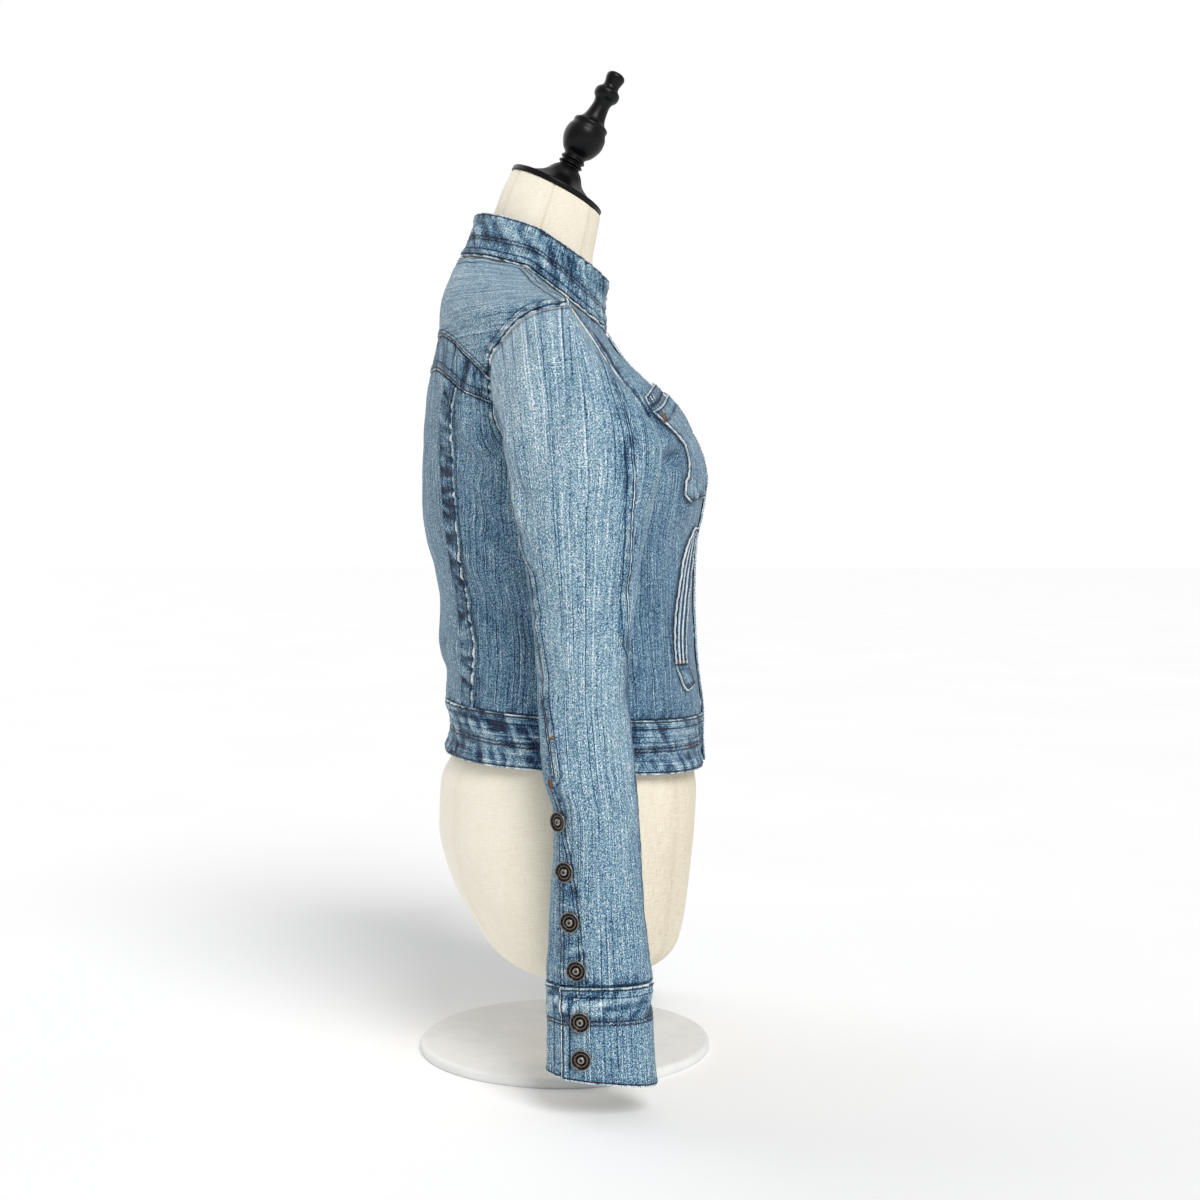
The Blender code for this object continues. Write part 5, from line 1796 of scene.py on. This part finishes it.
def button_mesh(foot, axis, sides):
    """A round button with a raised rim, a notched ring and a dimpled middle."""
    rows = np.array(BUTTON_FACE, float)
    points, faces = turned(rows[:, :2], foot, axis, sides)
    axis = unit(np.asarray(axis, float))
    ring = (rows[:, 0] > 5.2) & (rows[:, 0] < 6.9) & (rows[:, 1] > 1)  # between the rim and the middle
    notch = 0.5 + 0.5 * np.cos(np.arange(sides) * 2 * np.pi / sides * NOTCHES)
    lift = ring[:, None] * notch[None, :] * 0.45
    # How pale each ring is painted: rubbed metal, with painted highlights on the rims and the notched ring's
    # teeth, and painted shade in the recesses.
    wear = rows[:, 2, None] + ring[:, None] * notch[None, :] * 0.3
    points = points + lift.reshape(-1, 1) * axis
    return points, faces, wear.reshape(-1)


FORM_SEAMS = (0.0, 38.0, 90.0, 142.0, 180.0)  # degrees from the centre front
FORM_SIDES = 120
FORM_RADIUS = 125  # near enough to measure the seams' grooves by


def form_piece():
    """The dress form's linen cover, with its seams as shallow grooves."""
    places = np.concatenate([np.linspace(0, 27, 300), np.linspace(27, 29, 24)[1:]])[:, None]
    around = np.linspace(0, 360, FORM_SIDES + 1)[None, :-1]
    points = ring_point(FORM_TABLE, places + 0 * around, around + 0 * places)
    folded = from_front(around)
    shaded_groove = np.zeros_like(points[..., 0])
    for seam in FORM_SEAMS:
        across = np.radians(folded - seam) * FORM_RADIUS * np.clip((places - 1) / 5, 0.35, 1)
        shaded_groove = shaded_groove + hump(across, 0, 1.6) + 0.35 * hump(np.abs(across), 4.2, 0.8)
    outwards = unit(points * np.array([1, 1, 0]))
    points = points - outwards * (shaded_groove * 0.55)[..., None]
    flat = points.reshape(-1, 3)
    faces = facing_out(flat, ring_faces(len(places), FORM_SIDES))
    made = mesh_object("form_cover", flat, faces, [material("form_linen")])
    give(made, "weave", np.radians(around) * 130 + 0 * places, points[..., 2], 0.0)
    # The seams' hollows are also painted darker, as their shade.
    give(made, "finish", 0 * shaded_groove, shaded_groove * 0.5, 0.0)
    adopt(made, "linen", "dress_form")


def turned_piece(name, slot, node, rows, base, axis, sides, made_of):
    """A piece of the stand or the cap: its profile turned about an axis from its base."""
    points, faces = turned(np.array(rows, float), base, axis, sides)
    adopt(mesh_object(name, points, facing_out(points, faces), [material(made_of)]), slot, node)


VIEW_HEIGHT = 0.43  # of the camera and of the point it looks at, in metres
VIEW_SHIFT = -0.03045  # how far that point is in front of the middle
VIEW_DISTANCE = 1.5
FLOOR_HALF = 40000


def add_to_scene(name, data):
    made = bpy.data.objects.new(name, data)
    bpy.context.scene.collection.objects.link(made)
    return made


def aim(thing, place, target):
    thing.location = place
    thing.rotation_euler = (Vector(target) - Vector(place)).to_track_quat("-Z", "Y").to_euler()


def build_camera():
    lens = bpy.data.cameras.new("camera")
    lens.sensor_width = 36.0
    lens.lens = 51.72
    lens.shift_y = -50 / 1200
    camera = add_to_scene("camera", lens)
    aim(camera, (-VIEW_DISTANCE, VIEW_SHIFT, VIEW_HEIGHT), (0.0, VIEW_SHIFT, VIEW_HEIGHT))
    bpy.context.scene.camera = camera


def build_light(name, place, spread, strength):
    """A wide, soft light that is as strong everywhere and faces the jacket's middle."""
    lamp = bpy.data.lights.new(name, "SUN")
    lamp.angle = spread
    lamp.energy = strength
    aim(add_to_scene(name, lamp), place, (0, 0, 0.4))


def build_surroundings(strength):
    """A white sky, which the camera sees as plain white whatever light it gives."""
    world = bpy.data.worlds.new("studio")
    bpy.context.scene.world = world
    world.use_nodes = True
    nodes = Nodes(world.node_tree)
    seen = nodes.add("ShaderNodeLightPath").outputs["Is Camera Ray"]
    sky = world.node_tree.nodes["Background"]
    nodes.put(sky, Color=(1, 1, 1, 1), Strength=nodes.math("MULTIPLY_ADD", seen, 1.0 - strength, strength))


def build_stage(settings):
    corners = np.array([(-1, -1, 0), (1, -1, 0), (1, 1, 0), (-1, 1, 0)], float) * FLOOR_HALF
    floor = mesh_object("floor", corners, np.array([[0, 1, 2, 3]]), [material("floor_pale")])
    build_surroundings(settings.sky)
    build_light("key", (-3, -1.4, 3.4), settings.key_spread, settings.key)
    build_light("fill", (2.4, 2.4, 2.6), settings.fill_spread, settings.fill)
    build_camera()
    bpy.context.scene.view_settings.view_transform = "Standard"


SHARE = {"min": 0.0, "max": 1.0, "subtype": "FACTOR"}
COLOUR = {"min": 0.0, "max": 1.0, "subtype": "COLOR_GAMMA"}


class JacketCloth(bpy.types.PropertyGroup):
    thick: bpy.props.FloatProperty(
        name="Cloth", description="Thickness of the denim",
        default=0.0015, min=0.0008, max=0.003, unit="LENGTH",
    )
    front_tone: bpy.props.FloatProperty(
        name="Fronts", description="How washed out the fronts and their pockets are",
        default=0.49, **SHARE,
    )
    back_tone: bpy.props.FloatProperty(
        name="Back", description="How washed out the centre back and the band above it are",
        default=0.525, **SHARE,
    )
    side_tone: bpy.props.FloatProperty(
        name="Side backs", description="How washed out the side backs and the under sleeves are",
        default=0.43, **SHARE,
    )
    yoke_tone: bpy.props.FloatProperty(
        name="Yoke", description="How washed out the yoke is",
        default=0.6, **SHARE,
    )
    sleeve_tone: bpy.props.FloatProperty(
        name="Sleeves", description="How washed out the top sleeves are",
        default=0.68, **SHARE,
    )
    band_tone: bpy.props.FloatProperty(
        name="Bands", description="How washed out the collar and cuffs are",
        default=0.58, **SHARE,
    )
    hem_tone: bpy.props.FloatProperty(
        name="Waistband", description="How washed out the waistband is",
        default=0.48, **SHARE,
    )


class JacketSewing(bpy.types.PropertyGroup):
    pitch: bpy.props.FloatProperty(
        name="Pitch", description="Distance from stitch to stitch",
        default=0.0031, min=0.0015, unit="LENGTH",
    )
    length: bpy.props.FloatProperty(
        name="Stitch", description="Length of a stitch", default=0.0023, min=0.0008, unit="LENGTH",
    )
    brown: bpy.props.FloatVectorProperty(
        name="Brown thread", description="Colour of most rows",
        default=(84 / 255, 62 / 255, 48 / 255), **COLOUR,
    )
    dark: bpy.props.FloatVectorProperty(
        name="Dark thread", description="Colour of the rows on the welts, the back strips and the hem",
        default=(48 / 255, 44 / 255, 48 / 255), **COLOUR,
    )
    rust: bpy.props.FloatVectorProperty(
        name="Rust thread", description="Colour of the bartacks",
        default=(126 / 255, 82 / 255, 46 / 255), **COLOUR,
    )


class JacketTrim(bpy.types.PropertyGroup):
    button_sides: bpy.props.IntProperty(
        name="Button sides", description="Corners around a button", default=48, min=16
    )
    turned_sides: bpy.props.IntProperty(
        name="Turned sides", description="Corners around turned wood", default=96, min=24
    )


class JacketStudio(bpy.types.PropertyGroup):
    sky: bpy.props.FloatProperty(
        name="Sky", description="How strongly the surroundings light the part",
        default=0.45, **SHARE,
    )
    key: bpy.props.FloatProperty(name="Key", description="Strength of the main light", default=2.0, min=0.0)
    key_spread: bpy.props.FloatProperty(
        name="Key spread", description="How wide the main light is",
        default=np.radians(30), min=0.0, unit="ROTATION",
    )
    fill: bpy.props.FloatProperty(
        name="Fill", description="Strength of the light from behind", default=0.9, min=0.0
    )
    fill_spread: bpy.props.FloatProperty(
        name="Fill spread", description="How wide the light from behind is",
        default=np.radians(60), min=0.0, unit="ROTATION",
    )


class JACKET_OT_body(bpy.types.Operator):
    """Builds the fronts, yoke, band, side backs, centre back and its raised strips"""

    bl_idname = "jacket.body"
    bl_label = "Body panels"

    def execute(self, context):
        cloth = context.scene.jacket_cloth
        thick = cloth.thick / MM
        sew_pair(front_piece, "front", cloth.front_tone, thick)
        sew(yoke_piece(3.0), "back_yoke", cloth.yoke_tone, thick, turned=True)
        sew(band_piece(4.0), "back_band", cloth.back_tone, thick)
        sew_pair(side_piece, "side_back", cloth.side_tone, thick)
        sew(centre_piece(5.0), "centre_back", cloth.back_tone, thick)
        sew_pair(strip_piece, "back_strip", cloth.side_tone, THIN)
        return {"FINISHED"}


class JACKET_OT_bands(bpy.types.Operator):
    """Builds the waistband, the collar and the strip over the front closure"""

    bl_idname = "jacket.bands"
    bl_label = "Bands"

    def execute(self, context):
        cloth = context.scene.jacket_cloth
        thick = cloth.thick / MM
        sew(hem_piece(6.0), "hem_band", cloth.hem_tone, thick, turned=True)
        sew(collar_piece(7.0), "collar", cloth.band_tone, thick)
        sew(placket_piece(8.0), "placket", cloth.front_tone, THIN)
        return {"FINISHED"}


class JACKET_OT_pockets(bpy.types.Operator):
    """Builds the chest pockets with their bands, and the welt pockets with their tabs"""

    bl_idname = "jacket.pockets"
    bl_label = "Pockets"

    def execute(self, context):
        tone = context.scene.jacket_cloth.front_tone
        sew_pair(pocket_piece, "chest_pocket", tone, THIN)
        sew_pair(band_on_pocket, "pocket_band", tone, THIN)
        sew_pair(welt_piece, "welt_pocket", tone, THIN)
        sew_pair(tab_piece, "pocket_tab", tone, THIN)
        return {"FINISHED"}


class JACKET_OT_sleeves(bpy.types.Operator):
    """Builds both parts of each sleeve, its vent strip and its cuff"""

    bl_idname = "jacket.sleeves"
    bl_label = "Sleeves"

    def execute(self, context):
        cloth = context.scene.jacket_cloth
        thick = cloth.thick / MM
        sew_pair(top_piece, "top_sleeve", cloth.sleeve_tone, thick)
        sew_pair(under_piece, "under_sleeve", cloth.side_tone, thick)
        sew_pair(vent_piece, "vent_placket", cloth.sleeve_tone, THIN)
        sew_pair(cuff_piece, "cuff", cloth.band_tone, thick)
        return {"FINISHED"}


class JACKET_OT_sewing(bpy.types.Operator):
    """Lays every row of stitches and every bartack on the cloth"""

    bl_idname = "jacket.sewing"
    bl_label = "Sewing"

    def execute(self, context):
        sewing = context.scene.jacket_sewing
        rows, tacks = list(SINGLE_ROWS), []
        for side in "rl":
            rows += [(f"{piece}_{side}", *rest) for piece, *rest in PAIR_ROWS]
            tacks += [(f"{piece}_{side}", *rest) for piece, *rest in PAIR_BARTACKS]
        made = {"brown": [], "dark": [], "rust": []}
        for piece, sides, distances, colour, first, last in rows:
            for side, distance in product(sides, distances):
                line = row_beside(piece, side, distance, first, last)
                made[colour].append(stitch_row(piece, line, sewing.pitch / MM, sewing.length / MM))
        made["rust"] = [bartack(*tack) for tack in tacks]
        for colour, parts in made.items():
            tone = [255 * share for share in getattr(sewing, colour)]
            finish = material("thread_" + colour, thread, colour=tone)
            adopt(mesh_object("stitches_" + colour, *joined(parts), [finish]), "denim")
        return {"FINISHED"}


class JACKET_OT_buttons(bpy.types.Operator):
    """Builds the metal buttons on both wrists"""

    bl_idname = "jacket.buttons"
    bl_label = "Buttons"

    def execute(self, context):
        sides = context.scene.jacket_trim.button_sides
        for group, rows in (("vent_button", SLEEVE_BUTTONS), ("cuff_button", CUFF_BUTTONS)):
            for number, (level, degrees) in enumerate(rows, 1):
                foot = sleeve(level, degrees, 2 * LAID + WALL)
                tip = sleeve(level, degrees, 2 * LAID + WALL + 1)
                points, faces, wear = button_mesh(foot, tip - foot, sides)
                faces = facing_out(points - foot, faces)
                for side, turn in (("r", 1), ("l", -1)):
                    node = f"{group}_{number}_{side}"
                    made = mesh_object(
                        "metal_" + node, points * np.array([turn, 1, 1]), faces[:, ::turn],
                        [material("button_metal_worn")],
                    )
                    # Paleness of each point: rubbed metal with painted highlights and shade.
                    give(made, "wear", wear, 0.0, 0.0)
                    adopt(made, "button_metal", node)
        return {"FINISHED"}


class JACKET_OT_form(bpy.types.Operator):
    """Builds the dress form, its neck cap and its stand"""

    bl_idname = "jacket.form"
    bl_label = "Dress form"

    def execute(self, context):
        sides = context.scene.jacket_trim.turned_sides
        form_piece()
        lean = np.radians(CAP_LEAN)
        up, foot = (0, -np.sin(lean), np.cos(lean)), CAP_AXIS_BASE
        cap = smooth_profile(NECK_CAP, 2, 5)
        turned_piece("form_neck_cap", "dark_wood", "neck_cap", cap, foot, up, sides, "cap_black_wood")
        up, foot, paint = (0, 0, 1), (0, 0, 0), "stand_white_paint"
        turned_piece("form_pole", "white_paint", "stand_pole", POLE, foot, up, sides, paint)
        turned_piece("form_base", "white_paint", "stand_base", BASE, foot, up, sides, paint)
        return {"FINISHED"}


class JACKET_OT_stage(bpy.types.Operator):
    """Sets up the floor, the lights and the camera"""

    bl_idname = "jacket.stage"
    bl_label = "Stage"

    def execute(self, context):
        build_stage(context.scene.jacket_studio)
        return {"FINISHED"}


class JACKET_PT_panel(bpy.types.Panel):
    """Settings and steps of the jacket"""

    bl_idname = "JACKET_PT_panel"
    bl_label = "Denim jacket"
    bl_space_type = "VIEW_3D"
    bl_region_type = "UI"
    bl_category = "Jacket"

    def draw(self, context):
        for setting, group in GROUPS.items():
            box = self.layout.box()
            for name in group.__annotations__:
                box.prop(getattr(context.scene, setting), name)
        for step in STEPS:
            self.layout.operator(step.bl_idname)


GROUPS = {
    "jacket_cloth": JacketCloth,
    "jacket_sewing": JacketSewing,
    "jacket_trim": JacketTrim,
    "jacket_studio": JacketStudio,
}
STEPS = (
    JACKET_OT_body,
    JACKET_OT_bands,
    JACKET_OT_pockets,
    JACKET_OT_sleeves,
    JACKET_OT_sewing,
    JACKET_OT_buttons,
    JACKET_OT_form,
    JACKET_OT_stage,
)


def register():
    for made in (*GROUPS.values(), *STEPS, JACKET_PT_panel):
        bpy.utils.register_class(made)
    for name, made in GROUPS.items():
        setattr(bpy.types.Scene, name, bpy.props.PointerProperty(type=made))


def unregister():
    for name in GROUPS:
        delattr(bpy.types.Scene, name)
    for made in reversed((*GROUPS.values(), *STEPS, JACKET_PT_panel)):
        bpy.utils.unregister_class(made)


def main():
    register()
    bpy.ops.jacket.body()
    bpy.ops.jacket.bands()
    bpy.ops.jacket.pockets()
    bpy.ops.jacket.sleeves()
    bpy.ops.jacket.sewing()
    bpy.ops.jacket.buttons()
    bpy.ops.jacket.form()
    bpy.ops.jacket.stage()


if __name__ == "__main__":
    main()
